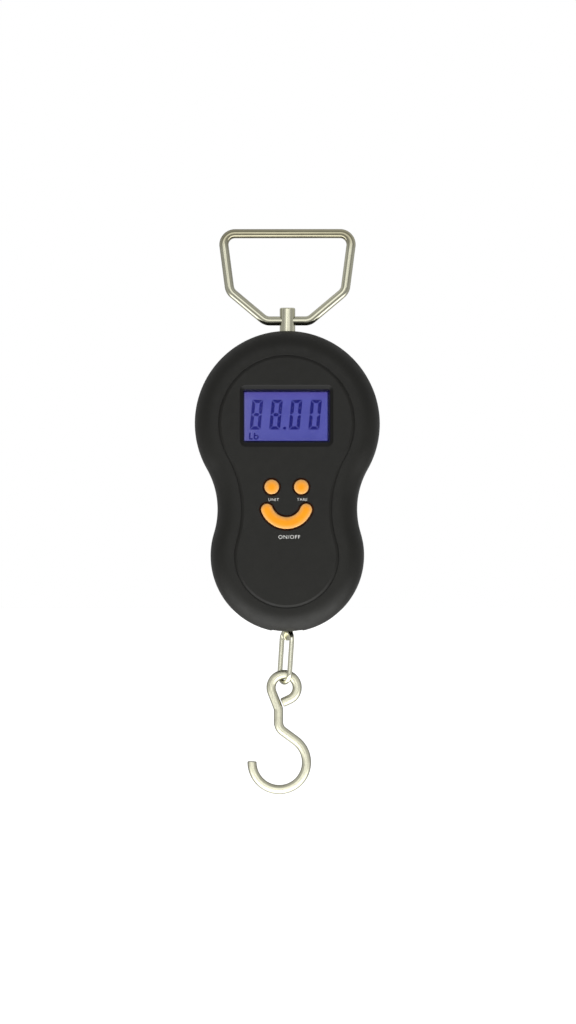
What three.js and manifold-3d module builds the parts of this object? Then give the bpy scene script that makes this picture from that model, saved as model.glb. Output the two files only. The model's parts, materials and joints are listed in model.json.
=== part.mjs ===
// Digital hanging scale: a waisted plastic case between a wire handle and a steel hook.
// Millimetres, +Z up, display facing -Y. The load hangs along the Z axis through handle, post,
// load cell, stud, link and hook. The origin is the middle of the handle's top bar.

import * as THREE from 'three';
import { mergeVertices } from 'three/addons/utils/BufferGeometryUtils.js';
import Module from 'manifold-3d';

const wasm = await Module();
wasm.setup();

// Clearances
const SEAT = 0.2; // between stacked faces
const FIT = 0.3; // round a shaft, in a pocket, or at a butt joint
const KEY_GAP = 0.7; // round a key in the case
const OVERRUN = 1; // how far a cut runs past the face that it opens

// Case outline: an upper and a lower round lobe with a hollow waist between them
const UPPER_LOBE_R = 35.1;
const LOWER_LOBE_R = 29.1;
const LOBE_SPACING = 50.3;
const WAIST_R = 30.8;
const CASE_WALL = 2;
const FRONT_ROLL = 8; // radius of the front edge
const REAR_ROLL = 6; // radius of the rear edge
const PANEL_INSET = 9.3; // from the outline to the groove round the front panel
const PANEL_GROOVE = 0.4;
const PANEL_GROOVE_DEPTH = 0.5;
const PANEL_RISE = 0.25; // how far the panel stands in front of the rim round it
const TONGUE_HEIGHT = 1.2;

// Handle
const BAIL_WIRE = 3.5;
const BAIL_DROP = 33.25; // top bar to the pivot, both at wire centres
const BAIL_TOP_HALF = 24.8;
const BAIL_SHOULDER_HALF = 21.95;
const BAIL_SHOULDER_DROP = 21.85;
const BAIL_FOOT_HALF = 8.35;
const BAIL_TOP_BEND = 4.2;
const BAIL_LOW_BEND = 4.5;
const POST_D = 5.9;
const POST_HEAD = 5; // above the pivot
const PIVOT_HEIGHT = 3.95; // pivot above the case
const POST_EDGE = 0.5; // chamfer round its top
const POST_THREAD_D = 5;
const COLLAR_D = 9;
const COLLAR_HEIGHT = 2;

// Load cell: a block slotted from both sides, with two joined round holes in its middle
const CELL_WIDTH = 30;
const CELL_DEPTH = 8;
const CELL_ARM = 9;
const CELL_SLOT = 5;
const CELL_CORE = 16;
const CELL_WEB = 6; // left uncut at the closed end of each slot
const CELL_HOLE_R = 5;
const CELL_HOLE_X = 6;
const GAUGE_SIZE = 3;
const GAUGE_THICK = 0.4;
const NUT_FLATS = 7;
const NUT_HEIGHT = 2.4;
const WASHER_D = 8;
const WASHER_HEIGHT = 0.7;

// Display and circuit board, stacked behind the front panel
const DISPLAY_WIDTH = 32;
const DISPLAY_HEIGHT = 19;
const DISPLAY_RISE = 2.7; // its middle above the upper lobe's centre
const BEVEL_X = 1.6;
const BEVEL_Z = 2.2;
const LENS_MARGIN = 1.4; // round the visible area
const LENS_THICK = 1;
const LCD_MARGIN = 1;
const LCD_THICK = 2;
const BACKLIGHT_THICK = 1.8;
const ZEBRA_HEIGHT = 2;
const PCB_WIDTH = 44;
const PCB_ABOVE_DISPLAY = 1.6;
const PCB_BELOW_KEYS = 7.5;
const PCB_MARGIN = 3; // between its side edge and what stands on it
const PCB_THICK = 1.2;
const CELL_TO_PCB = 1.7;
const CHIP_R = 5;
const CHIP_HEIGHT = 1.1;
const CHIP_SHOULDER_R = 3;
const CHIP_SHOULDER_DROP = 0.2;
const CRYSTAL_R = 1;
const CRYSTAL_LENGTH = 6;
const CAPACITOR_R = 2;
const CAPACITOR_HEIGHT = 2.6;

// Keys: two round ones over a curved one
const KEY_ROW_DROP = 24.2; // below the upper lobe's centre
const KEY_SPACING = 11.2;
const KEY_R = 2.75;
const KEY_PROUD = 0.7;
const KEY_CROWN = 0.35; // height of the rounding at a key's edge
const KEY_DOME_R = 2.1;
const KEY_DOME_DROP = 0.1;
const KEY_TRAVEL = 0.6;
const KEY_FLANGE = 1.2;
const KEY_FLANGE_THICK = 0.8;
const ARC_DROP = 5.7; // its centre below the row of round keys
const ARC_R = 7.96;
const ARC_WIDTH = 4.45;
const ARC_HALF_ANGLE = 69;
const SWITCH_SIZE = 6;
const SWITCH_HEIGHT = 3.4;
const STEM_R = 1.5;
const STEM_ENTRY = 2; // into the switch at rest

// Batteries, their compartment and its door, stacked forward from the flat back
const BATTERY_D = 10.5;
const BATTERY_LENGTH = 44.5;
const BATTERY_TIP_D = 3.8;
const BATTERY_TIP_LENGTH = 0.8;
const TRAY_WALL = 1.1;
const TRAY_TO_CELL = 4;
const TRAY_FRONT = 1; // behind the load line
const TRAY_CORNER_R = 1;
const ROD_GUIDE_WALL = 0.85;
const SPRING_ROOM = 3;
const CONTACT_THICK = 0.4;
const CONTACT_WIDTH = 8;
const LEAF_STEPS = 8;
const DOOR_THICK = 1.8;
const DOOR_LEDGE = 1.2;
const DOOR_TOP_CORNER_R = 1;
const DOOR_CORNER_R = 5;
const DOOR_TAB_WIDTH = 4;
const DOOR_TAB_THICK = 0.9;
const DOOR_TAB_LENGTH = 1.6;
const THUMB_DEPTH = 0.6;
const THUMB_WIDTH = 11;
const THUMB_HEIGHT = 4;

// Stud, link and hook
const STUD_D = 4.2;
const STUD_BLADE = 1.6;
const STUD_TIP_DROP = 3.3; // below the case's lowest point
const BOTTOM_HOLE_D = 11.4;
const BOTTOM_RELIEF = 0.4; // shallow relief across the case's lowest edge, round the hole
const BOTTOM_RELIEF_WIDTH = 12;
const LINK_WIRE = 1.9;
const LINK_WIDTH = 7.5; // between wire centres
const LINK_LENGTH = 19.75; // between wire centres
const LINK_RISE = 0.55; // its top wire above the case's lowest point
const LINK_YAW = -59; // about the load line, so that its right wire passes in front of the hook
const LINK_TILT = 3.7; // in the plane of the display
const STUD_HOLE_R = LINK_WIRE / 2 + 2 * SEAT;
const HOOK_WIRE = 3.5;
const EYE_R = 4.97; // wire centre
const EYE_TAIL_ANGLE = -65;
const SHANK_OFFSET = -2.15; // from the eye's centre
const NECK_DROP = 8.1; // from the eye's centre to the upper bend
const SHANK_LENGTH = 7.3; // between the upper and lower bends
const NECK_BEND = 4;
const SHANK_BEND = 4.5;
const BOWL_R = 10.45;
const BOWL_OFFSET = -1.85;
const BOWL_DROP = 28.55; // from the eye's centre to the bowl's
const BOWL_TIP_ANGLE = -182;

// Screws
const CASE_SCREW_HEAD_D = 5;
const CASE_SCREW_HEAD_HEIGHT = 1.6;
const CASE_SCREW_D = 2.8;
const CASE_SCREW_BITE = 7; // into the front case
const CASE_SCREW_SINK = 3.4; // head seat below the flat back
const BOSS_WALL = 1.4;
const UPPER_SCREW_ANGLE = 42;
const LOWER_SCREW_ANGLE = -21;
const SMALL_SCREW_D = 2;
const SMALL_SCREW_HEAD_D = 3.6;
const SMALL_SCREW_HEAD_HEIGHT = 1;
const SMALL_SCREW_BITE = 4;
const SMALL_BOSS_WALL = 0.9;
const PCB_SCREW_INSET = 2;
const CELL_SCREW_INSET = 4.5;

// Leads
const LEAD_D = 1;
const LEAD_STEPS = 10;
const LEAD_SIDES = 6;

// Fineness of the curved faces
const ARC_STEP = 9; // degrees between points of an outline or a bend
const ROLL_STEPS = 4;
const ROUND_SIDES = 24;
const BOSS_SIDES = 12; // round features inside the case
const WIRE_SIDES = 12;

// Heights along the load line
const PIVOT_Z = -BAIL_DROP;
const CASE_TOP = PIVOT_Z - PIVOT_HEIGHT;
const UPPER_LOBE_Z = CASE_TOP - UPPER_LOBE_R;
const LOWER_LOBE_Z = UPPER_LOBE_Z - LOBE_SPACING;
const CASE_BOTTOM = LOWER_LOBE_Z - LOWER_LOBE_R;
const UPPER_LOBE_INNER_R = UPPER_LOBE_R - CASE_WALL - FIT;
const CELL_TOP = UPPER_LOBE_Z + Math.sqrt(UPPER_LOBE_INNER_R ** 2 - (CELL_WIDTH / 2) ** 2);
const COLLAR_TOP = CELL_TOP + SEAT + COLLAR_HEIGHT;
const UPPER_SLOT_TOP = CELL_TOP - CELL_ARM;
const CORE_TOP = UPPER_SLOT_TOP - CELL_SLOT;
const CORE_BOTTOM = CORE_TOP - CELL_CORE;
const LOWER_ARM_TOP = CORE_BOTTOM - CELL_SLOT;
const CELL_BOTTOM = LOWER_ARM_TOP - CELL_ARM;
const DISPLAY_Z = UPPER_LOBE_Z + DISPLAY_RISE;
const KEY_ROW_Z = UPPER_LOBE_Z - KEY_ROW_DROP;
const ARC_Z = KEY_ROW_Z - ARC_DROP;
const POWER_SWITCH_Z = ARC_Z - ARC_R;
const PCB_TOP = DISPLAY_Z + DISPLAY_HEIGHT / 2 + PCB_ABOVE_DISPLAY;
const PCB_BOTTOM = ARC_Z - ARC_R - ARC_WIDTH / 2 - PCB_BELOW_KEYS;
const TRAY_TOP = CELL_BOTTOM - TRAY_TO_CELL;
const TRAY_LENGTH = BATTERY_LENGTH + SPRING_ROOM + 2 * CONTACT_THICK + 4 * SEAT;
const TRAY_BOTTOM = TRAY_TOP - TRAY_LENGTH;
const LINK_TOP = CASE_BOTTOM + LINK_RISE;
const STUD_TIP = CASE_BOTTOM - STUD_TIP_DROP;

// Depths, from the load cell forward to the panel and from the tray back to the flat back
const PCB_REAR = -CELL_DEPTH / 2 - CELL_TO_PCB;
const PCB_FRONT = PCB_REAR - PCB_THICK;
const BACKLIGHT_FRONT = PCB_FRONT - SEAT - BACKLIGHT_THICK;
const LCD_FRONT = BACKLIGHT_FRONT - SEAT - LCD_THICK;
const LENS_FRONT = LCD_FRONT - SEAT - LENS_THICK;
const PANEL_REAR = LENS_FRONT - SEAT;
const PANEL_FRONT = PANEL_REAR - CASE_WALL;
const FRONT_Y = PANEL_FRONT + PANEL_RISE;
const BATTERY_Y = TRAY_FRONT + TRAY_WALL + FIT + BATTERY_D / 2;
const BACK_Y = BATTERY_Y + BATTERY_D / 2 + FIT + DOOR_THICK;

// Widths of the battery compartment
const ROD_GUIDE_WIDTH = STUD_D + 2 * (FIT + SEAT);
const BATTERY_SPACING = BATTERY_D + 2 * FIT + ROD_GUIDE_WIDTH + 2 * ROD_GUIDE_WALL;
const TRAY_INNER_WIDTH = BATTERY_SPACING + BATTERY_D + 2 * FIT;
const DOOR_WIDTH = TRAY_INNER_WIDTH + 2 * DOOR_LEDGE - 2 * FIT;
const DOOR_TOP = TRAY_TOP + DOOR_LEDGE - FIT;
const DOOR_BOTTOM = TRAY_BOTTOM - DOOR_LEDGE + FIT;
const PILOT_R = CASE_SCREW_D / 2 + FIT;
const BOSS_R = PILOT_R + BOSS_WALL;
const SMALL_PILOT_R = SMALL_SCREW_D / 2 + FIT;
const SMALL_BOSS_R = SMALL_PILOT_R + SMALL_BOSS_WALL;

const rad = THREE.MathUtils.degToRad;

// From three.js geometry to solids and back

function toManifold(geometry) {
  const bare = geometry.clone();
  bare.deleteAttribute('normal');
  bare.deleteAttribute('uv');
  const merged = mergeVertices(bare, 1e-4);
  const corners = merged.index.array;
  const kept = [];
  for (let i = 0; i < corners.length; i += 3) {
    const [a, b, c] = corners.slice(i, i + 3);
    if (a !== b && b !== c && c !== a) kept.push(a, b, c);
  }
  const vertProperties = merged.attributes.position.array;
  const triVerts = new Uint32Array(kept);
  return new wasm.Manifold(new wasm.Mesh({ numProp: 3, vertProperties, triVerts }));
}

function toGeometry(manifold) {
  const { vertProperties, triVerts } = manifold.getMesh();
  const geometry = new THREE.BufferGeometry();
  geometry.setAttribute('position', new THREE.BufferAttribute(vertProperties, 3));
  geometry.setIndex(new THREE.BufferAttribute(triVerts, 1));
  geometry.computeVertexNormals();
  return geometry;
}

function join(first, ...others) {
  return others.reduce((sum, other) => sum.add(other), first);
}

function cut(first, ...others) {
  return others.reduce((rest, other) => rest.subtract(other), first);
}

// Basic shapes, all returned as solids ready to join or cut

// A block between two opposite corners.
function block([x0, y0, z0], [x1, y1, z1]) {
  const geometry = new THREE.BoxGeometry(x1 - x0, y1 - y0, z1 - z0);
  geometry.translate((x0 + x1) / 2, (y0 + y1) / 2, (z0 + z1) / 2);
  return toManifold(geometry);
}

// A round bar between two points.
function bar(radius, from, to, sides = ROUND_SIDES) {
  const start = new THREE.Vector3(...from);
  const run = new THREE.Vector3(...to).sub(start);
  const geometry = new THREE.CylinderGeometry(radius, radius, run.length(), sides);
  geometry.translate(0, run.length() / 2, 0);
  const upright = new THREE.Vector3(0, 1, 0);
  const turn = new THREE.Quaternion().setFromUnitVectors(upright, run.clone().normalize());
  geometry.applyQuaternion(turn);
  geometry.translate(start.x, start.y, start.z);
  return toManifold(geometry);
}

// A turned piece about a vertical axis. The profile runs upwards, as [radius, z] pairs.
function turnedZ(profile, x = 0, y = 0, sides = ROUND_SIDES) {
  const points = profile.map(([r, z]) => new THREE.Vector2(r, z));
  const geometry = new THREE.LatheGeometry(points, sides);
  geometry.rotateX(Math.PI / 2);
  geometry.translate(x, y, 0);
  return toManifold(geometry);
}

// A turned piece about an axis along Y. The profile runs backwards, as [radius, y] pairs.
function turnedY(profile, x, z, sides = ROUND_SIDES) {
  const points = profile.map(([r, y]) => new THREE.Vector2(r, y));
  const geometry = new THREE.LatheGeometry(points, sides);
  geometry.translate(x, 0, z);
  return toManifold(geometry);
}

// A shape drawn in X and Z, extruded along Y.
function slab(shape, fromY, toY) {
  const geometry = new THREE.ExtrudeGeometry(shape, { depth: toY - fromY, bevelEnabled: false });
  geometry.rotateX(Math.PI / 2);
  geometry.translate(0, toY, 0);
  return toManifold(geometry);
}

// Points along an arc; angles in degrees from +X towards +Z, either way round.
function arcPoints(x, z, radius, from, to, step = ARC_STEP) {
  const count = Math.max(1, Math.ceil(Math.abs(to - from) / step));
  return Array.from({ length: count + 1 }, (_, i) => {
    const angle = rad(from + (to - from) * i / count);
    return new THREE.Vector2(x + radius * Math.cos(angle), z + radius * Math.sin(angle));
  });
}

// A rectangle with rounded corners; topR and bottomR are its corner radii.
function roundedRect(width, top, bottom, topR, bottomR = topR) {
  const half = width / 2;
  const points = [
    ...arcPoints(half - topR, top - topR, topR, 0, 90, 2 * ARC_STEP),
    ...arcPoints(topR - half, top - topR, topR, 90, 180, 2 * ARC_STEP),
    ...arcPoints(bottomR - half, bottom + bottomR, bottomR, 180, 270, 2 * ARC_STEP),
    ...arcPoints(half - bottomR, bottom + bottomR, bottomR, 270, 360, 2 * ARC_STEP),
  ];
  return new THREE.Shape(points);
}

// Case outline, drawn a distance inside its true edge. The waist circle touches both lobes,
// so its centre lies a sum of radii from the centre of each.
function caseOutline(inset) {
  const upperReach = UPPER_LOBE_R + WAIST_R;
  const lowerReach = LOWER_LOBE_R + WAIST_R;
  const waistDrop = (upperReach ** 2 - lowerReach ** 2 + LOBE_SPACING ** 2) / (2 * LOBE_SPACING);
  const waistX = Math.sqrt(upperReach ** 2 - waistDrop ** 2);
  const waistZ = UPPER_LOBE_Z - waistDrop;
  const upperLean = THREE.MathUtils.radToDeg(Math.atan2(waistDrop, waistX));
  const lowerLean = THREE.MathUtils.radToDeg(Math.atan2(LOBE_SPACING - waistDrop, waistX));
  const upper = [0, UPPER_LOBE_Z, UPPER_LOBE_R - inset];
  const lower = [0, LOWER_LOBE_Z, LOWER_LOBE_R - inset];
  const arcs = [
    [...upper, -upperLean, 0],
    [...upper, 0, 90],
    [...upper, 90, 180],
    [...upper, 180, 180 + upperLean],
    [-waistX, waistZ, WAIST_R + inset, upperLean, -lowerLean],
    [...lower, 180 - lowerLean, 270],
    [...lower, 270, 360 + lowerLean],
    [waistX, waistZ, WAIST_R + inset, 180 + lowerLean, 180 - upperLean],
  ];
  return new THREE.Shape(arcs.flatMap((arc) => arcPoints(...arc).slice(0, -1)));
}

// A solid with the case's outline and flat faces at y = -reach and +reach, their edges rolled over.
function pillow(inset, roll, reach) {
  const geometry = new THREE.ExtrudeGeometry(caseOutline(inset + roll), {
    depth: 2 * (reach - roll),
    bevelThickness: roll,
    bevelSize: roll,
    bevelSegments: ROLL_STEPS,
  });
  geometry.rotateX(Math.PI / 2);
  geometry.translate(0, reach - roll, 0);
  return toManifold(geometry);
}

// Wires: a path in X and Z is a list of stations, each a point with its direction

function arcStations(x, z, radius, from, to) {
  const turn = Math.sign(to - from);
  return arcPoints(x, z, radius, from, to, 2 * ARC_STEP).map((point) => {
    const out = point.clone().sub(new THREE.Vector2(x, z)).normalize();
    return { point, along: new THREE.Vector2(-out.y * turn, out.x * turn) };
  });
}

// The rounded corner of a bent wire, between the points before and after it.
function cornerStations(before, corner, after, radius) {
  const into = corner.clone().sub(before).normalize();
  const away = after.clone().sub(corner).normalize();
  const turn = Math.sign(into.x * away.y - into.y * away.x);
  const bend = Math.acos(THREE.MathUtils.clamp(into.dot(away), -1, 1));
  const setback = radius * Math.tan(bend / 2);
  const normal = new THREE.Vector2(-into.y * turn, into.x * turn);
  const start = corner.clone().addScaledVector(into, -setback);
  const centre = start.clone().addScaledVector(normal, radius);
  const from = THREE.MathUtils.radToDeg(Math.atan2(start.y - centre.y, start.x - centre.x));
  return arcStations(centre.x, centre.y, radius, from, from + turn * THREE.MathUtils.radToDeg(bend));
}

// A curve through stations that samples exactly at each of them, with none along a straight.
class StationCurve extends THREE.Curve {
  constructor(stations) {
    super();
    this.points = stations.map(({ point }) => new THREE.Vector3(point.x, 0, point.y));
    this.alongs = stations.map(({ along }) => new THREE.Vector3(along.x, 0, along.y));
  }

  between(list, t, target) {
    const place = t * (list.length - 1);
    const low = Math.min(Math.floor(place), list.length - 2);
    return target.lerpVectors(list[low], list[low + 1], place - low);
  }

  getPoint(t, target = new THREE.Vector3()) {
    return this.between(this.points, t, target);
  }

  getTangent(t, target = new THREE.Vector3()) {
    return this.between(this.alongs, t, target).normalize();
  }

  getUtoTmapping(u) {
    return u;
  }
}

// A polygon with corners on the circle of the wire's section.
function wireSection(diameter, sides) {
  return new THREE.Shape(arcPoints(0, 0, diameter / 2, 0, 360, 360 / sides).slice(0, -1));
}

function sweep(curve, steps, diameter, sides = WIRE_SIDES) {
  return toManifold(new THREE.ExtrudeGeometry(wireSection(diameter, sides), { steps, extrudePath: curve }));
}

function bentWire(stations, diameter) {
  return sweep(new StationCurve(stations), stations.length - 1, diameter);
}

function straightEnd(point, towards, leaving = false) {
  const along = towards.clone().sub(point).normalize();
  if (leaving) along.negate();
  return { point, along };
}

// Handle

function handleBail() {
  const corner = (x, drop) => new THREE.Vector2(x, -drop);
  const right = [
    [corner(BAIL_FOOT_HALF, BAIL_DROP), BAIL_LOW_BEND],
    [corner(BAIL_SHOULDER_HALF, BAIL_SHOULDER_DROP), BAIL_LOW_BEND],
    [corner(BAIL_TOP_HALF, 0), BAIL_TOP_BEND],
  ];
  const left = right.map(([point, bend]) => [new THREE.Vector2(-point.x, point.y), bend]).reverse();
  const bends = [...right, ...left];
  const start = corner(FIT, BAIL_DROP);
  const end = corner(-FIT, BAIL_DROP);
  const points = [start, ...bends.map(([point]) => point), end];
  const stations = bends.flatMap(([point, bend], i) => (
    cornerStations(points[i], point, points[i + 2], bend)));
  return bentWire([
    straightEnd(start, points[1]),
    ...stations,
    straightEnd(end, points[points.length - 2], true),
  ], BAIL_WIRE);
}

function handlePost() {
  const top = PIVOT_Z + POST_HEAD;
  const threadEnd = UPPER_SLOT_TOP - WASHER_HEIGHT - NUT_HEIGHT - 3 * SEAT;
  const post = turnedZ([
    [0, threadEnd],
    [POST_THREAD_D / 2, threadEnd],
    [POST_THREAD_D / 2, CELL_TOP + SEAT],
    [COLLAR_D / 2, CELL_TOP + SEAT],
    [COLLAR_D / 2, COLLAR_TOP],
    [POST_D / 2, COLLAR_TOP],
    [POST_D / 2, top - POST_EDGE],
    [POST_D / 2 - POST_EDGE, top],
    [0, top],
  ]);
  const holeR = BAIL_WIRE / 2 + FIT;
  return cut(post, bar(holeR, [-POST_D, 0, PIVOT_Z], [POST_D, 0, PIVOT_Z]));
}

function hexNut(boreD, bottom) {
  const sides = 6;
  const nut = bar(NUT_FLATS / Math.sqrt(3), [0, 0, bottom], [0, 0, bottom + NUT_HEIGHT], sides);
  return cut(nut, bar(boreD / 2, [0, 0, bottom - OVERRUN], [0, 0, bottom + NUT_HEIGHT + OVERRUN]));
}

function washer(boreD, bottom) {
  const disc = bar(WASHER_D / 2, [0, 0, bottom], [0, 0, bottom + WASHER_HEIGHT]);
  return cut(disc, bar(boreD / 2, [0, 0, bottom - OVERRUN], [0, 0, bottom + WASHER_HEIGHT + OVERRUN]));
}

// Case halves

function lobePoint(lobeR, lobeZ, angle, side) {
  const reach = lobeR - REAR_ROLL - CASE_SCREW_HEAD_D / 2;
  return [side * reach * Math.cos(rad(angle)), lobeZ + reach * Math.sin(rad(angle))];
}

const CASE_SCREWS = [-1, 1].flatMap((side) => [
  lobePoint(UPPER_LOBE_R, UPPER_LOBE_Z, UPPER_SCREW_ANGLE, side),
  lobePoint(LOWER_LOBE_R, LOWER_LOBE_Z, LOWER_SCREW_ANGLE, side),
]);

const PCB_SCREWS = [-1, 1].flatMap((side) => {
  const x = side * (PCB_WIDTH / 2 - PCB_SCREW_INSET);
  return [[x, PCB_TOP - PCB_SCREW_INSET], [x, PCB_BOTTOM + PCB_SCREW_INSET]];
});

const CELL_SCREWS = [-1, 1].map((side) => [
  side * (CELL_WIDTH / 2 - CELL_SCREW_INSET),
  CELL_TOP - CELL_ARM / 2,
]);

function postHole() {
  const radius = POST_D / 2 + FIT;
  return bar(radius, [0, 0, COLLAR_TOP], [0, 0, CASE_TOP + OVERRUN]);
}

function bottomHole() {
  const inside = CASE_BOTTOM + 2 * CASE_WALL;
  return bar(BOTTOM_HOLE_D / 2, [0, 0, CASE_BOTTOM - OVERRUN], [0, 0, inside]);
}

// What is cut off the case's lowest edge.
function bottomRelief() {
  const half = BOTTOM_RELIEF_WIDTH / 2;
  return cut(
    block([-half, FRONT_Y - OVERRUN, CASE_BOTTOM - OVERRUN], [half, BACK_Y + OVERRUN, LOWER_LOBE_Z]),
    slab(caseOutline(BOTTOM_RELIEF), FRONT_Y - 2 * OVERRUN, BACK_Y + 2 * OVERRUN),
  );
}

// A thin ring that follows the case's outline between two insets from it.
function outlineRing(outerInset, innerInset, fromY, toY) {
  return cut(
    slab(caseOutline(outerInset), fromY, toY),
    slab(caseOutline(innerInset), fromY - OVERRUN, toY + OVERRUN),
  );
}

// How much of the wall the front case's tongue takes where it pushes into the rear case.
const TONGUE_WALL = CASE_WALL / 2 - SEAT / 2;

// The window's opening, with its four faces sloping inwards to the visible area.
function windowCut() {
  const half = [DISPLAY_WIDTH / 2, DISPLAY_HEIGHT / 2];
  const outerHalf = [half[0] + BEVEL_X, half[1] + BEVEL_Z];
  const depth = CASE_WALL + 2 * SEAT;
  const geometry = new THREE.BoxGeometry(1, depth, 1);
  const positions = geometry.attributes.position;
  for (let i = 0; i < positions.count; i += 1) {
    const [halfX, halfZ] = positions.getY(i) < 0 ? outerHalf : half;
    positions.setX(i, Math.sign(positions.getX(i)) * halfX);
    positions.setZ(i, Math.sign(positions.getZ(i)) * halfZ);
  }
  geometry.translate(0, (PANEL_FRONT + PANEL_REAR) / 2, DISPLAY_Z);
  return toManifold(geometry);
}

function roundKeyHole(side) {
  const x = side * KEY_SPACING / 2;
  const front = PANEL_FRONT - OVERRUN;
  return bar(KEY_R + KEY_GAP, [x, front, KEY_ROW_Z], [x, PANEL_REAR + OVERRUN, KEY_ROW_Z]);
}

// The curved key's outline: an arc of constant width with round ends, grown all round.
function arcKeyShape(grow) {
  const half = ARC_WIDTH / 2 + grow;
  const from = -90 - ARC_HALF_ANGLE;
  const to = -90 + ARC_HALF_ANGLE;
  const cap = (angle) => [ARC_R * Math.cos(rad(angle)), ARC_Z + ARC_R * Math.sin(rad(angle)), half];
  return new THREE.Shape([
    ...arcPoints(0, ARC_Z, ARC_R + half, from, to),
    ...arcPoints(...cap(to), to, to + 180, 3 * ARC_STEP).slice(1, -1),
    ...arcPoints(0, ARC_Z, ARC_R - half, to, from),
    ...arcPoints(...cap(from), from + 180, from + 360, 3 * ARC_STEP).slice(1, -1),
  ]);
}

function frontCase() {
  const outer = pillow(0, FRONT_ROLL, -FRONT_Y).trimByPlane([0, -1, 0], 0);
  const cavity = pillow(CASE_WALL, FRONT_ROLL - CASE_WALL, -PANEL_REAR);
  const tongue = outlineRing(CASE_WALL - TONGUE_WALL, CASE_WALL, -CASE_WALL, TONGUE_HEIGHT);
  const panel = slab(caseOutline(PANEL_INSET + PANEL_GROOVE / 2), PANEL_FRONT, PANEL_REAR);
  const shell = join(cut(outer, cavity), tongue, panel);
  const bossFoot = (PANEL_FRONT + PANEL_REAR) / 2;
  const caseBosses = CASE_SCREWS.map(([x, z]) => bar(BOSS_R, [x, bossFoot, z], [x, -SEAT, z], BOSS_SIDES));
  const pcbBosses = PCB_SCREWS.map(([x, z]) => (
    bar(SMALL_BOSS_R, [x, bossFoot, z], [x, PCB_FRONT - SEAT, z], BOSS_SIDES)));
  const casePilots = CASE_SCREWS.map(([x, z]) => (
    bar(PILOT_R, [x, -CASE_SCREW_BITE - SEAT, z], [x, OVERRUN, z], BOSS_SIDES)));
  const pcbPilots = PCB_SCREWS.map(([x, z]) => (
    bar(SMALL_PILOT_R, [x, PCB_FRONT - SMALL_SCREW_BITE - SEAT, z], [x, 0, z], BOSS_SIDES)));
  return cut(
    join(shell, ...caseBosses, ...pcbBosses),
    outlineRing(PANEL_INSET, PANEL_INSET + PANEL_GROOVE, PANEL_FRONT - OVERRUN, FRONT_Y + PANEL_GROOVE_DEPTH),
    windowCut(),
    roundKeyHole(-1),
    roundKeyHole(1),
    slab(arcKeyShape(KEY_GAP), PANEL_FRONT - OVERRUN, PANEL_REAR + OVERRUN),
    ...casePilots,
    ...pcbPilots,
    postHole(),
    bottomHole(),
    bottomRelief(),
  );
}

function batteryPocket(side) {
  const middle = side * BATTERY_SPACING / 2;
  const half = BATTERY_D / 2 + FIT;
  return block(
    [middle - half, TRAY_FRONT + TRAY_WALL, TRAY_BOTTOM],
    [middle + half, BACK_Y, TRAY_TOP],
  );
}

// The slots above the compartment that hold the door's tabs.
function doorTabPocket(side) {
  const middle = side * BATTERY_SPACING / 2;
  const half = DOOR_TAB_WIDTH / 2 + FIT;
  const sweepR = Math.hypot(DOOR_THICK + SEAT + DOOR_TAB_THICK, DOOR_TAB_LENGTH) + FIT;
  return block(
    [middle - half, BACK_Y - sweepR, TRAY_TOP - OVERRUN],
    [middle + half, BACK_Y - DOOR_THICK, DOOR_TOP + DOOR_TAB_LENGTH + FIT],
  );
}

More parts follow.
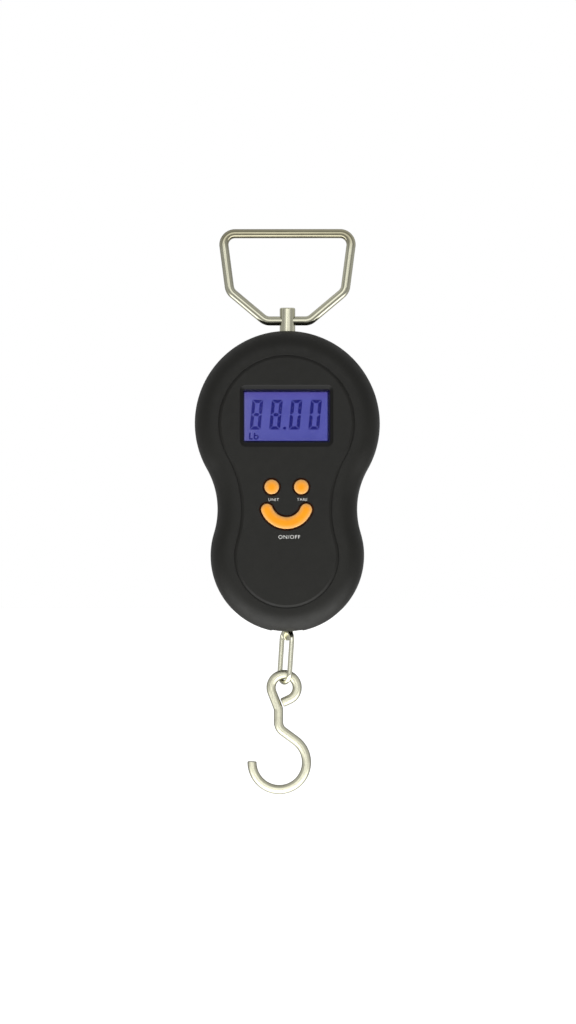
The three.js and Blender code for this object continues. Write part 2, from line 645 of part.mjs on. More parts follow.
function rearCase() {
  const outer = pillow(0, REAR_ROLL, BACK_Y).trimByPlane([0, 1, 0], 0);
  const cavity = pillow(CASE_WALL, REAR_ROLL - CASE_WALL, BACK_Y - CASE_WALL);
  const groove = outlineRing(
    CASE_WALL - TONGUE_WALL - FIT, CASE_WALL + OVERRUN, -OVERRUN, TONGUE_HEIGHT + FIT);
  const shell = cut(outer, cavity, groove);
  const midWall = BACK_Y - CASE_WALL / 2;
  const trayWidth = TRAY_INNER_WIDTH + 2 * TRAY_WALL;
  const trayOutline = roundedRect(trayWidth, TRAY_TOP + TRAY_WALL, TRAY_BOTTOM - TRAY_WALL, TRAY_CORNER_R);
  const tray = slab(trayOutline, TRAY_FRONT, midWall);
  const guideHalf = ROD_GUIDE_WIDTH / 2;
  const rodGuide = block(
    [-guideHalf, TRAY_FRONT - OVERRUN, TRAY_BOTTOM - TRAY_WALL - OVERRUN],
    [guideHalf, guideHalf, TRAY_TOP + TRAY_WALL + OVERRUN],
  );
  const screwSeat = BACK_Y - CASE_SCREW_SINK;
  const bosses = CASE_SCREWS.map(([x, z]) => bar(BOSS_R, [x, 0, z], [x, midWall, z], BOSS_SIDES));
  const sinkR = CASE_SCREW_HEAD_D / 2 + FIT;
  const collarR = sinkR + BOSS_WALL / 2;
  const collars = CASE_SCREWS.map(([x, z]) => (
    bar(collarR, [x, screwSeat - CASE_WALL, z], [x, midWall, z], BOSS_SIDES)));
  const holes = CASE_SCREWS.map(([x, z]) => bar(PILOT_R, [x, -OVERRUN, z], [x, BACK_Y, z], BOSS_SIDES));
  const sinks = CASE_SCREWS.map(([x, z]) => bar(sinkR, [x, screwSeat, z], [x, BACK_Y + OVERRUN, z]));
  const cellSeat = CELL_DEPTH / 2 + SEAT;
  const cellBosses = CELL_SCREWS.map(([x, z]) => (
    bar(SMALL_BOSS_R, [x, cellSeat, z], [x, midWall, z], BOSS_SIDES)));
  const cellPilots = CELL_SCREWS.map(([x, z]) => (
    bar(SMALL_PILOT_R, [x, 0, z], [x, cellSeat + SMALL_SCREW_BITE + SEAT, z], BOSS_SIDES)));
  const doorRecess = roundedRect(
    DOOR_WIDTH + 2 * FIT, DOOR_TOP + FIT, DOOR_BOTTOM - FIT, DOOR_TOP_CORNER_R, DOOR_CORNER_R + FIT);
  return cut(
    join(shell, tray, ...bosses, ...collars, ...cellBosses),
    batteryPocket(-1),
    batteryPocket(1),
    rodGuide,
    slab(doorRecess, BACK_Y - DOOR_THICK, BACK_Y + OVERRUN),
    doorTabPocket(-1),
    doorTabPocket(1),
    ...holes,
    ...sinks,
    ...cellPilots,
    postHole(),
    bottomHole(),
    bottomRelief(),
  );
}

// Load cell

function loadCell() {
  const half = CELL_WIDTH / 2;
  const slotEnd = half - CELL_WEB;
  const outline = new THREE.Shape([
    new THREE.Vector2(-half, CELL_BOTTOM),
    new THREE.Vector2(half, CELL_BOTTOM),
    new THREE.Vector2(half, LOWER_ARM_TOP),
    new THREE.Vector2(-slotEnd, LOWER_ARM_TOP),
    new THREE.Vector2(-slotEnd, CORE_BOTTOM),
    new THREE.Vector2(half, CORE_BOTTOM),
    new THREE.Vector2(half, CELL_TOP),
    new THREE.Vector2(-half, CELL_TOP),
    new THREE.Vector2(-half, UPPER_SLOT_TOP),
    new THREE.Vector2(slotEnd, UPPER_SLOT_TOP),
    new THREE.Vector2(slotEnd, CORE_TOP),
    new THREE.Vector2(-half, CORE_TOP),
  ]);
  const depth = CELL_DEPTH / 2;
  const coreZ = (CORE_TOP + CORE_BOTTOM) / 2;
  const rounds = [-1, 1].map((side) => (
    bar(CELL_HOLE_R, [side * CELL_HOLE_X, -CELL_DEPTH, coreZ], [side * CELL_HOLE_X, CELL_DEPTH, coreZ])));
  const bridge = CELL_HOLE_R / 2;
  const screwHoles = CELL_SCREWS.map(([x, z]) => (
    bar(SMALL_PILOT_R, [x, -CELL_DEPTH, z], [x, CELL_DEPTH, z], BOSS_SIDES)));
  return cut(
    slab(outline, -depth, depth),
    ...rounds,
    block([-CELL_HOLE_X, -CELL_DEPTH, coreZ - bridge], [CELL_HOLE_X, CELL_DEPTH, coreZ + bridge]),
    bar(POST_THREAD_D / 2 + FIT, [0, 0, UPPER_SLOT_TOP - OVERRUN], [0, 0, CELL_TOP + OVERRUN]),
    bar(STUD_D / 2 + FIT, [0, 0, CELL_BOTTOM - OVERRUN], [0, 0, LOWER_ARM_TOP + OVERRUN]),
    ...screwHoles,
  );
}

// One foil gauge, over the thin wall above or below a round hole of the core.
function strainGauge(side, level) {
  const face = level > 0 ? CORE_TOP : CORE_BOTTOM;
  const near = face + level * SEAT;
  const far = near + level * GAUGE_THICK;
  const x = side * CELL_HOLE_X;
  const half = GAUGE_SIZE / 2;
  return block([x - half, -half, Math.min(near, far)], [x + half, half, Math.max(near, far)]);
}

// A headed screw along Y that rests on seatY, with a six-sided drive halfway into its head.
function screw(x, z, shankD, headD, headHeight, seatY, tipY) {
  const toward = Math.sign(tipY - seatY);
  const seat = seatY - toward * SEAT;
  const top = seat - toward * headHeight;
  const middle = (seat + top) / 2;
  const head = bar(headD / 2, [x, top, z], [x, seat, z]);
  const shank = bar(shankD / 2, [x, middle, z], [x, tipY, z], BOSS_SIDES);
  const driveSides = 6;
  const drive = bar(headD / 5, [x, top - toward * OVERRUN, z], [x, middle, z], driveSides);
  return cut(join(head, shank), drive);
}

// Display, board and what stands on it

function panel(width, top, bottom, fromY, toY) {
  return block([-width / 2, fromY, bottom], [width / 2, toY, top]);
}

function displayPane(margin, fromY, thick, bottomTrim = 0) {
  const half = DISPLAY_HEIGHT / 2 + margin;
  const width = DISPLAY_WIDTH + 2 * margin;
  return panel(width, DISPLAY_Z + half, DISPLAY_Z - half + bottomTrim, fromY, fromY + thick);
}

function zebraStrip() {
  const bottom = DISPLAY_Z - DISPLAY_HEIGHT / 2 - LCD_MARGIN;
  return panel(DISPLAY_WIDTH, bottom + ZEBRA_HEIGHT, bottom, BACKLIGHT_FRONT, PCB_FRONT - SEAT);
}

function mainPcb() {
  const board = panel(PCB_WIDTH, PCB_TOP, PCB_BOTTOM, PCB_FRONT, PCB_REAR);
  const holes = PCB_SCREWS.map(([x, z]) => (
    bar(SMALL_PILOT_R, [x, PCB_FRONT - OVERRUN, z], [x, PCB_REAR + OVERRUN, z], BOSS_SIDES)));
  return cut(board, ...holes);
}

// Halfway between the bottom of the liquid crystal and the top of the round keys.
const CHIP_Z = (DISPLAY_Z - DISPLAY_HEIGHT / 2 - LCD_MARGIN + KEY_ROW_Z + KEY_R) / 2;

// A low dome of resin over the controller.
function controllerChip() {
  const face = PCB_FRONT - SEAT;
  return turnedY([
    [0, face - CHIP_HEIGHT],
    [CHIP_SHOULDER_R, face - CHIP_HEIGHT + CHIP_SHOULDER_DROP],
    [CHIP_R, face],
    [0, face],
  ], 0, CHIP_Z);
}

function timingCrystal() {
  const x = PCB_WIDTH / 2 - PCB_MARGIN - CRYSTAL_R;
  const y = PCB_FRONT - SEAT - CRYSTAL_R;
  return bar(CRYSTAL_R, [x, y, CHIP_Z - CRYSTAL_LENGTH / 2], [x, y, CHIP_Z + CRYSTAL_LENGTH / 2]);
}

function filterCapacitor() {
  const x = CAPACITOR_R + PCB_MARGIN - PCB_WIDTH / 2;
  const face = PCB_FRONT - SEAT;
  return bar(CAPACITOR_R, [x, face - CAPACITOR_HEIGHT, CHIP_Z], [x, face, CHIP_Z]);
}

// Keys. A key's flange lies behind the panel, and its stem reaches into a switch on the board.

const FLANGE_FRONT = PANEL_REAR + SEAT;
const FLANGE_REAR = FLANGE_FRONT + KEY_FLANGE_THICK;
const KEY_FRONT = PANEL_FRONT - KEY_PROUD;
const SWITCH_FRONT = PCB_FRONT - SEAT - SWITCH_HEIGHT;

function roundKey(side) {
  return turnedY([
    [0, KEY_FRONT],
    [KEY_DOME_R, KEY_FRONT + KEY_DOME_DROP],
    [KEY_R, KEY_FRONT + KEY_CROWN],
    [KEY_R, FLANGE_FRONT],
    [KEY_R + KEY_FLANGE, FLANGE_FRONT],
    [KEY_R + KEY_FLANGE, FLANGE_REAR],
    [0, FLANGE_REAR],
  ], side * KEY_SPACING / 2, KEY_ROW_Z);
}

function arcKey() {
  return join(
    slab(arcKeyShape(-KEY_CROWN), KEY_FRONT, FLANGE_REAR),
    slab(arcKeyShape(0), KEY_FRONT + KEY_CROWN, FLANGE_REAR),
    slab(arcKeyShape(KEY_FLANGE), FLANGE_FRONT, FLANGE_REAR),
  );
}

const STEM_FRONT = FLANGE_REAR + SEAT;
const STEM_REAR = SWITCH_FRONT + STEM_ENTRY;

// A press switch, bored deep enough for its stem at the end of the key's travel.
function keySwitch(x, z) {
  const half = SWITCH_SIZE / 2;
  return cut(
    block([x - half, SWITCH_FRONT, z - half], [x + half, PCB_FRONT - SEAT, z + half]),
    bar(STEM_R + FIT, [x, SWITCH_FRONT - OVERRUN, z], [x, STEM_REAR + KEY_TRAVEL + SEAT, z]),
  );
}

function switchStem(x, z) {
  return bar(STEM_R, [x, STEM_FRONT, z], [x, STEM_REAR, z], BOSS_SIDES);
}

// Batteries, contacts and door

// A round cell along Z: the left one has its small end up, the right one has it down.
function battery(side) {
  const low = TRAY_BOTTOM + CONTACT_THICK + 2 * SEAT + (side > 0 ? 0 : SPRING_ROOM);
  const high = low + BATTERY_LENGTH;
  const profile = [
    [0, low],
    [BATTERY_D / 2, low],
    [BATTERY_D / 2, high - BATTERY_TIP_LENGTH],
    [BATTERY_TIP_D / 2, high - BATTERY_TIP_LENGTH],
    [BATTERY_TIP_D / 2, high],
    [0, high],
  ];
  const turned = side > 0
    ? profile.map(([r, z]) => [r, low + high - z]).reverse()
    : profile;
  return turnedZ(turned, side * BATTERY_SPACING / 2, BATTERY_Y);
}

// A contact leaf that stands off its end wall in a shallow arch, drawn in X and Z.
function springLeaf(x, wallZ, up) {
  const crest = SPRING_ROOM - CONTACT_THICK - 2 * SEAT;
  const edge = (lift) => Array.from({ length: LEAF_STEPS + 1 }, (_, i) => new THREE.Vector2(
    x + CONTACT_WIDTH * (i / LEAF_STEPS - 1 / 2),
    wallZ + up * (lift + crest * Math.sin(Math.PI * i / LEAF_STEPS)),
  ));
  return new THREE.Shape([...edge(CONTACT_THICK), ...edge(0).reverse()]);
}

const CONTACT_FRONT = BATTERY_Y - CONTACT_WIDTH / 2;
const CONTACT_REAR = BATTERY_Y + CONTACT_WIDTH / 2;

// The flat plate of a contact, against the end wall at wallZ; up is the way to the cell.
function endPlate(fromX, toX, wallZ, up) {
  const near = wallZ + up * SEAT;
  const far = near + up * CONTACT_THICK;
  return block(
    [fromX, CONTACT_FRONT, Math.min(near, far)],
    [toX, CONTACT_REAR, Math.max(near, far)],
  );
}

function springContact(side, wallZ, up) {
  const x = side * BATTERY_SPACING / 2;
  const half = CONTACT_WIDTH / 2;
  const leafZ = wallZ + up * SEAT;
  const leaf = slab(springLeaf(x, leafZ, up), BATTERY_Y - half / 2, BATTERY_Y + half / 2);
  return join(endPlate(x - half, x + half, wallZ, up), leaf);
}

function plateContact(side, wallZ, up) {
  const x = side * BATTERY_SPACING / 2;
  return endPlate(x - CONTACT_WIDTH / 2, x + CONTACT_WIDTH / 2, wallZ, up);
}

function batteryDoor() {
  const inner = BACK_Y - DOOR_THICK + SEAT;
  const outline = roundedRect(DOOR_WIDTH, DOOR_TOP, DOOR_BOTTOM, DOOR_TOP_CORNER_R, DOOR_CORNER_R);
  const plate = slab(outline, inner, BACK_Y);
  const tabs = [-1, 1].map((side) => {
    const x = side * BATTERY_SPACING / 2;
    const half = DOOR_TAB_WIDTH / 2;
    return block(
      [x - half, inner - SEAT - DOOR_TAB_THICK, DOOR_TOP - 2 * DOOR_LEDGE],
      [x + half, inner - SEAT, DOOR_TOP + DOOR_TAB_LENGTH - FIT],
    );
  });
  const necks = [-1, 1].map((side) => {
    const x = side * BATTERY_SPACING / 2;
    const half = DOOR_TAB_WIDTH / 2;
    return block(
      [x - half, inner - SEAT - DOOR_TAB_THICK / 2, DOOR_TOP - 2 * DOOR_LEDGE],
      [x + half, inner + SEAT, DOOR_TOP - DOOR_LEDGE],
    );
  });
  const thumbTop = DOOR_BOTTOM + DOOR_CORNER_R + THUMB_HEIGHT;
  const thumb = slab(
    roundedRect(THUMB_WIDTH, thumbTop, thumbTop - THUMB_HEIGHT, THUMB_HEIGHT / 2),
    BACK_Y - THUMB_DEPTH,
    BACK_Y + OVERRUN,
  );
  return cut(join(plate, ...tabs, ...necks), thumb);
}

// Stud, link and hook

function hookStud() {
  const top = LOWER_ARM_TOP + WASHER_HEIGHT + NUT_HEIGHT + 3 * SEAT;
  const radius = STUD_D / 2;
  const tipZ = STUD_TIP + radius;
  const dome = arcPoints(0, tipZ, radius, -90, 0, 3 * ARC_STEP);
  const rod = turnedZ([...dome.map(({ x, y }) => [x, y]), [radius, top], [0, top]]);
  const bladeTop = STUD_TIP + 3 * radius;
  const cheek = (side) => block(
    [side > 0 ? STUD_BLADE / 2 : -STUD_D, -STUD_D, STUD_TIP - OVERRUN],
    [side > 0 ? STUD_D : -STUD_BLADE / 2, STUD_D, bladeTop],
  );
  const hole = bar(STUD_HOLE_R, [-STUD_D, 0, LINK_TOP], [STUD_D, 0, LINK_TOP], BOSS_SIDES);
  return cut(rod, cheek(-1), cheek(1), hole);
}

// The oval link, drawn upright with its top wire at the origin. Its ends meet in the stud's hole.
function hookLink() {
  const bendR = LINK_WIDTH / 2;
  const lower = bendR - LINK_LENGTH;
  const jointAngle = THREE.MathUtils.radToDeg(FIT / 2 / bendR);
  return bentWire([
    ...arcStations(0, -bendR, bendR, 90 + jointAngle, 180),
    ...arcStations(0, lower, bendR, 180, 360),
    ...arcStations(0, -bendR, bendR, 0, 90 - jointAngle),
  ], LINK_WIRE);
}

// The angle on a circle where a line from a point outside touches it, on the chosen side.
function touchAngle(centre, radius, point, side) {
  const offset = point.clone().sub(centre);
  return THREE.MathUtils.radToDeg(offset.angle() + side * Math.acos(radius / offset.length()));
}

// The hook, drawn flat with the centre of its eye at the origin.
function hook() {
  const eye = new THREE.Vector2(0, 0);
  const neck = new THREE.Vector2(SHANK_OFFSET, -NECK_DROP);
  const knee = new THREE.Vector2(SHANK_OFFSET, -NECK_DROP - SHANK_LENGTH);
  const bowl = new THREE.Vector2(BOWL_OFFSET, -BOWL_DROP);
  const leave = touchAngle(eye, EYE_R, neck, -1);
  const enter = touchAngle(bowl, BOWL_R, knee, -1);
  const eyeArc = arcStations(eye.x, eye.y, EYE_R, EYE_TAIL_ANGLE, leave);
  const bowlArc = arcStations(bowl.x, bowl.y, BOWL_R, enter, BOWL_TIP_ANGLE);
  const neckTop = eyeArc[eyeArc.length - 1];
  // The tail runs straight from the eye until its upper corner is a clearance short of the neck.
  const { point: tailTop, along: tailAlong } = eyeArc[0];
  const across = new THREE.Vector2(-neckTop.along.y, neckTop.along.x);
  const corner = tailTop.clone().addScaledVector(new THREE.Vector2(-tailAlong.y, tailAlong.x), HOOK_WIRE / 2);
  const room = corner.sub(neckTop.point).dot(across) - HOOK_WIRE / 2 - FIT;
  const tail = tailTop.clone().addScaledVector(tailAlong, -room / tailAlong.dot(across));
  return bentWire([
    { point: tail, along: tailAlong },
    ...eyeArc,
    ...cornerStations(neckTop.point, neck, knee, NECK_BEND),
    ...cornerStations(neck, knee, bowlArc[0].point, SHANK_BEND),
    ...bowlArc,
  ], HOOK_WIRE);
}

// Leads, each a smooth run behind the board through a few points

function lead(points) {
  const curve = new THREE.CatmullRomCurve3(points.map((point) => new THREE.Vector3(...point)));
  return sweep(curve, LEAD_STEPS, LEAD_D, LEAD_SIDES);
}

function gaugeLead() {
  const x = CELL_WIDTH / 2 - 2 * LEAD_D;
  const y = (PCB_REAR - CELL_DEPTH / 2) / 2;
  return lead([
    [x - 4 * LEAD_D, y, CORE_TOP - 2 * LEAD_D],
    [x, y, CORE_TOP - 6 * LEAD_D],
    [x, y, CELL_BOTTOM + 4 * LEAD_D],
    [x + LEAD_D, PCB_REAR + SEAT + LEAD_D / 2, CELL_BOTTOM - 6 * LEAD_D],
  ]);
}

function batteryLead(side) {
  const x = side * BATTERY_SPACING / 2;
  const low = TRAY_TOP + TRAY_WALL + FIT + LEAD_D / 2;
  const solderY = PCB_REAR + SEAT + LEAD_D / 2;
  return lead([
    [x, BATTERY_Y, low],
    [x, BATTERY_Y / 2, low + LEAD_D / 2],
    [x, TRAY_FRONT - 2 * LEAD_D, low - LEAD_D],
    [x, solderY + LEAD_D / 2, low - 4 * LEAD_D],
    [x, solderY, low - 8 * LEAD_D],
  ]);
}

// Materials

function material(color, roughness, metalness = 0) {
  return new THREE.MeshStandardMaterial({ color, roughness, metalness });
}

const casePlastic = () => material(0x2f2e2c, 0.55);
const keyPlastic = () => material(0xf79a2b, 0.45);
const polishedSteel = () => material(0xc9c4b8, 0.22, 1);
const brightSteel = () => material(0xb9b9b5, 0.35, 1);
const aluminium = () => material(0xb4b6b8, 0.4, 1);
const boardGreen = () => material(0x1f5a34, 0.5);
const blackPlastic = () => material(0x151515, 0.5);
const clearPlastic = () => material(0x4a4870, 0.1);
const liquidCrystal = () => material(0x5a55b5, 0.2);
const diffuser = () => material(0x6a66e0, 0.4);
const greyRubber = () => material(0x55565a, 0.7);
const gaugeFoil = () => material(0xb8863c, 0.4);
const batteryCan = () => material(0x3a3d42, 0.35, 0.6);
const springBronze = () => material(0xc9b27a, 0.3, 1);
const redPlastic = () => material(0xa3221c, 0.5);

// Assembly

const scale = new THREE.Group();

function add(name, solid, finish, parent = scale) {
  const mesh = new THREE.Mesh(toGeometry(solid), finish);
  mesh.name = name;
  parent.add(mesh);
  return mesh;
}

// Handle and post
add('handle_bail', handleBail(), polishedSteel());
add('handle_post', handlePost(), polishedSteel());
add('post_washer', washer(POST_THREAD_D + 2 * FIT, UPPER_SLOT_TOP - SEAT - WASHER_HEIGHT), brightSteel());
add('post_nut', hexNut(
  POST_THREAD_D + 2 * FIT,
  UPPER_SLOT_TOP - 2 * SEAT - WASHER_HEIGHT - NUT_HEIGHT,
), brightSteel());

// Case
add('front_case', frontCase(), casePlastic());
add('rear_case', rearCase(), casePlastic());
CASE_SCREWS.forEach(([x, z], i) => add(`case_screw_${i + 1}`, screw(
  x, z, CASE_SCREW_D, CASE_SCREW_HEAD_D, CASE_SCREW_HEAD_HEIGHT, BACK_Y - CASE_SCREW_SINK, -CASE_SCREW_BITE,
), brightSteel()));

// Load cell
add('load_cell', loadCell(), aluminium());
[-1, 1].forEach((side) => [-1, 1].forEach((level) => {
  const row = level > 0 ? 'upper' : 'lower';
  const column = side > 0 ? 'right' : 'left';
  add(`strain_gauge_${row}_${column}`, strainGauge(side, level), gaugeFoil());
}));
CELL_SCREWS.forEach(([x, z], i) => add(`cell_screw_${i + 1}`, screw(
  x, z, SMALL_SCREW_D, SMALL_SCREW_HEAD_D, SMALL_SCREW_HEAD_HEIGHT,
  -CELL_DEPTH / 2, CELL_DEPTH / 2 + SEAT + SMALL_SCREW_BITE,
), brightSteel()));

// Display and board
add('display_lens', displayPane(LENS_MARGIN, LENS_FRONT, LENS_THICK), clearPlastic());
add('lcd_glass', displayPane(LCD_MARGIN, LCD_FRONT, LCD_THICK), liquidCrystal());
const backlight = displayPane(LCD_MARGIN, BACKLIGHT_FRONT, BACKLIGHT_THICK, ZEBRA_HEIGHT + FIT);
add('lcd_backlight', backlight, diffuser());
add('zebra_strip', zebraStrip(), greyRubber());
add('main_pcb', mainPcb(), boardGreen());
add('controller_chip', controllerChip(), blackPlastic());
add('timing_crystal', timingCrystal(), brightSteel());
add('filter_capacitor', filterCapacitor(), blackPlastic());
PCB_SCREWS.forEach(([x, z], i) => add(`pcb_screw_${i + 1}`, screw(
  x, z, SMALL_SCREW_D, SMALL_SCREW_HEAD_D, SMALL_SCREW_HEAD_HEIGHT, PCB_REAR, PCB_FRONT - SMALL_SCREW_BITE,
), brightSteel()));

// Keys and their switches
const KEYS = [
  ['unit', -KEY_SPACING / 2, KEY_ROW_Z, roundKey(-1)],
  ['tare', KEY_SPACING / 2, KEY_ROW_Z, roundKey(1)],
  ['power', 0, POWER_SWITCH_Z, arcKey()],
];
for (const [name, x, z, cap] of KEYS) {
  add(`${name}_button`, cap, keyPlastic());
  add(`${name}_switch_stem`, switchStem(x, z), blackPlastic());
  add(`${name}_switch`, keySwitch(x, z), blackPlastic());
}

// Batteries and door
add('battery_left', battery(-1), batteryCan());
add('battery_right', battery(1), batteryCan());
add('contact_left_spring', springContact(-1, TRAY_BOTTOM, 1), springBronze());
add('contact_right_spring', springContact(1, TRAY_TOP, -1), springBronze());
add('contact_left_plate', plateContact(-1, TRAY_TOP, -1), springBronze());
add('contact_right_plate', plateContact(1, TRAY_BOTTOM, 1), springBronze());
add('battery_door', batteryDoor(), casePlastic());

// Leads
add('gauge_lead', gaugeLead(), greyRubber());
add('battery_lead_black', batteryLead(-1), blackPlastic());
add('battery_lead_red', batteryLead(1), redPlastic());

// Stud with its washer and nut, turned to face the link
const stud = new THREE.Group();
stud.rotation.z = rad(LINK_YAW);
scale.add(stud);
add('hook_stud', hookStud(), polishedSteel(), stud);
add('stud_washer', washer(STUD_D + 2 * FIT, LOWER_ARM_TOP + SEAT), brightSteel(), stud);
add('stud_nut', hexNut(STUD_D + 2 * FIT, LOWER_ARM_TOP + 2 * SEAT + WASHER_HEIGHT), brightSteel(), stud);

// Link, hanging in the stud's hole a little out of plumb
const linkHang = new THREE.Group();
linkHang.position.z = LINK_TOP;
linkHang.rotation.y = rad(LINK_TILT);
scale.add(linkHang);
const link = add('hook_link', hookLink(), polishedSteel(), linkHang);
link.rotation.z = rad(LINK_YAW);

// Hook, its eye resting on the bottom of the link
const eyeDrop = LINK_LENGTH - LINK_WIRE / 2 - FIT - HOOK_WIRE / 2 + EYE_R;
const hookMesh = add('hook', hook(), polishedSteel());
hookMesh.position.set(
  -LINK_LENGTH * Math.sin(rad(LINK_TILT)),
  0,
  LINK_TOP - eyeDrop * Math.cos(rad(LINK_TILT)),
);

export default scale;
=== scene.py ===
import json
import math

import bmesh
import bpy
from mathutils import Matrix, Vector
from mathutils.geometry import delaunay_2d_cdt


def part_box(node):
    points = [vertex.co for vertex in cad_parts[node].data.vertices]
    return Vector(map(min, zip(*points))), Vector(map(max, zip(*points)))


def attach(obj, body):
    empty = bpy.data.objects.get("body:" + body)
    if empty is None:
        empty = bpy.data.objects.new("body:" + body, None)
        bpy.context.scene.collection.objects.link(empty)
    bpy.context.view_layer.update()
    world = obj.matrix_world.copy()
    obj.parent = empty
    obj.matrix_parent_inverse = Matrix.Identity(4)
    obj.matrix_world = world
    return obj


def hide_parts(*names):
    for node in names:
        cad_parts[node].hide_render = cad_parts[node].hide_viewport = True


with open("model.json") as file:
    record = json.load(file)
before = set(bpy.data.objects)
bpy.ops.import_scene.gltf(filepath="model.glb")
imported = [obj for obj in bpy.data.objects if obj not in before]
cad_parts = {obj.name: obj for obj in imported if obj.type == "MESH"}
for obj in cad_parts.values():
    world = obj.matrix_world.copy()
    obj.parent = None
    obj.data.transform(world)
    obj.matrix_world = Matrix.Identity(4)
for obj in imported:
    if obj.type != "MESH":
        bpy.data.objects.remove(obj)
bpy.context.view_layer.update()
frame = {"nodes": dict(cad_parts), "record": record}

# Looks of a digital hanging scale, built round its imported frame.
# Lengths below are millimetres in the frame's own axes: display facing -Y, +Z up.
MM = 0.001

# Case
UPPER_R, UPPER_Z = 35.1, -72.3
LOWER_R, LOWER_Z = 29.1, -122.6
WAIST_R = 30.8
WALL = 2.0
FRONT_ROLL, REAR_ROLL = 8.0, 6.0
FRONT_Y, PANEL_Y, PANEL_REAR_Y, BACK_Y = -14.25, -14.5, -12.5, 15.0
PANEL_INSET, PANEL_GROOVE, GROOVE_DEPTH = 9.3, 0.4, 0.5
CASE_TOP, CASE_BOTTOM = -37.2, -151.7
SEAM = 0.25

# Display and keys
WINDOW_Z = -69.6
WINDOW_HALF = (16.0, 9.5)
WINDOW_BEVEL = (1.6, 2.2)
KEY_Z, KEY_X, KEY_R, KEY_FRONT = -96.5, 5.6, 2.75, -15.2
KEY_GAP, KEY_FLANGE = 0.7, 1.2
ARC_Z, ARC_R, ARC_HALF_WIDTH, ARC_HALF_ANGLE = -102.2, 7.96, 2.225, 69.0
FLANGE_FRONT, FLANGE_REAR = -12.3, -11.5

# Handle, stud, link and hook
PIVOT_Z = -33.25
BAIL_WIRE, LINK_WIRE, HOOK_WIRE = 3.5, 1.9, 3.5
LINK_TOP, LINK_LENGTH, LINK_WIDTH = -151.15, 19.75, 7.5
LINK_YAW, LINK_TILT = -59.0, 3.7
POST_R, POST_OPENING_R = 2.95, 3.25
STUD_R, STUD_DROP, STUD_OPENING_R = 2.1, 3.3, 5.7
EYE_R, BOWL_R = 4.97, 10.38

# Battery compartment and door
TRAY_TOP, TRAY_BOTTOM = -91.13, -140.23
DOOR_TOP, DOOR_BOTTOM, DOOR_HALF, DOOR_THICK = -90.23, -141.13, 15.45, 1.8
BATTERY_X, BATTERY_Y, BATTERY_R, BATTERY_LENGTH = 9.0, 7.65, 5.25, 44.5
POCKET_R = 5.55
SCREW_SINK, SCREW_HEAD_R = 3.4, 2.5

# Studio, in metres
FLOOR_Z, FLOOR_HALF = -0.36, 14.0
CAMERA_DISTANCE, CAMERA_YAW, VIEW_HEIGHT = 2.4, 1.4, 0.39
CAMERA_X, CAMERA_Z = 0.0002, -0.106


# Shapes drawn in X and Z

def arc(x, z, radius, start, end, step=3.0):
    count = max(1, math.ceil(abs(end - start) / step))
    angles = [math.radians(start + (end - start) * i / count) for i in range(count + 1)]
    return [(x + radius * math.cos(a), z + radius * math.sin(a)) for a in angles]


def circle(x, z, radius, sides=48):
    return arc(x, z, radius, 0, 360, 360 / sides)[:-1]


def rounded(x, z, half_x, half_z, radius, lower_radius=None):
    low = radius if lower_radius is None else lower_radius
    return (arc(x + half_x - radius, z + half_z - radius, radius, 0, 90, 15)
            + arc(x - half_x + radius, z + half_z - radius, radius, 90, 180, 15)
            + arc(x - half_x + low, z - half_z + low, low, 180, 270, 15)
            + arc(x + half_x - low, z - half_z + low, low, 270, 360, 15))


def case_outline(inset):
    """The case's outline, a distance inside its edge; every inset has the same number of points."""
    spacing = UPPER_Z - LOWER_Z
    upper, lower = UPPER_R + WAIST_R, LOWER_R + WAIST_R
    drop = (upper ** 2 - lower ** 2 + spacing ** 2) / (2 * spacing)
    waist_x, waist_z = math.sqrt(upper ** 2 - drop ** 2), UPPER_Z - drop
    up = math.degrees(math.atan2(drop, waist_x))
    down = math.degrees(math.atan2(spacing - drop, waist_x))
    arcs = [
        (0, UPPER_Z, UPPER_R - inset, -up, 180 + up),
        (-waist_x, waist_z, WAIST_R + inset, up, -down),
        (0, LOWER_Z, LOWER_R - inset, 180 - down, 360 + down),
        (waist_x, waist_z, WAIST_R + inset, 180 + down, 180 - up),
    ]
    return [p for a in arcs for p in arc(*a, 2.5)[:-1]]


def arc_key(grow):
    """The curved key's outline, grown all round."""
    half = ARC_HALF_WIDTH + grow
    start, end = -90 - ARC_HALF_ANGLE, -90 + ARC_HALF_ANGLE

    def cap(angle):
        a = math.radians(angle)
        return ARC_R * math.cos(a), ARC_Z + ARC_R * math.sin(a), half

    return (arc(0, ARC_Z, ARC_R + half, start, end, 4)
            + arc(*cap(end), end, end + 180, 12)[1:-1]
            + arc(0, ARC_Z, ARC_R - half, end, start, 4)
            + arc(*cap(start), start + 180, start + 360, 12)[1:-1])


def inside(point, polygon):
    x, z = point
    hit = False
    for (ax, az), (bx, bz) in zip(polygon, polygon[1:] + polygon[:1]):
        if (az > z) != (bz > z) and x < (bx - ax) * (z - az) / (bz - az) + ax:
            hit = not hit
    return hit


# Building meshes

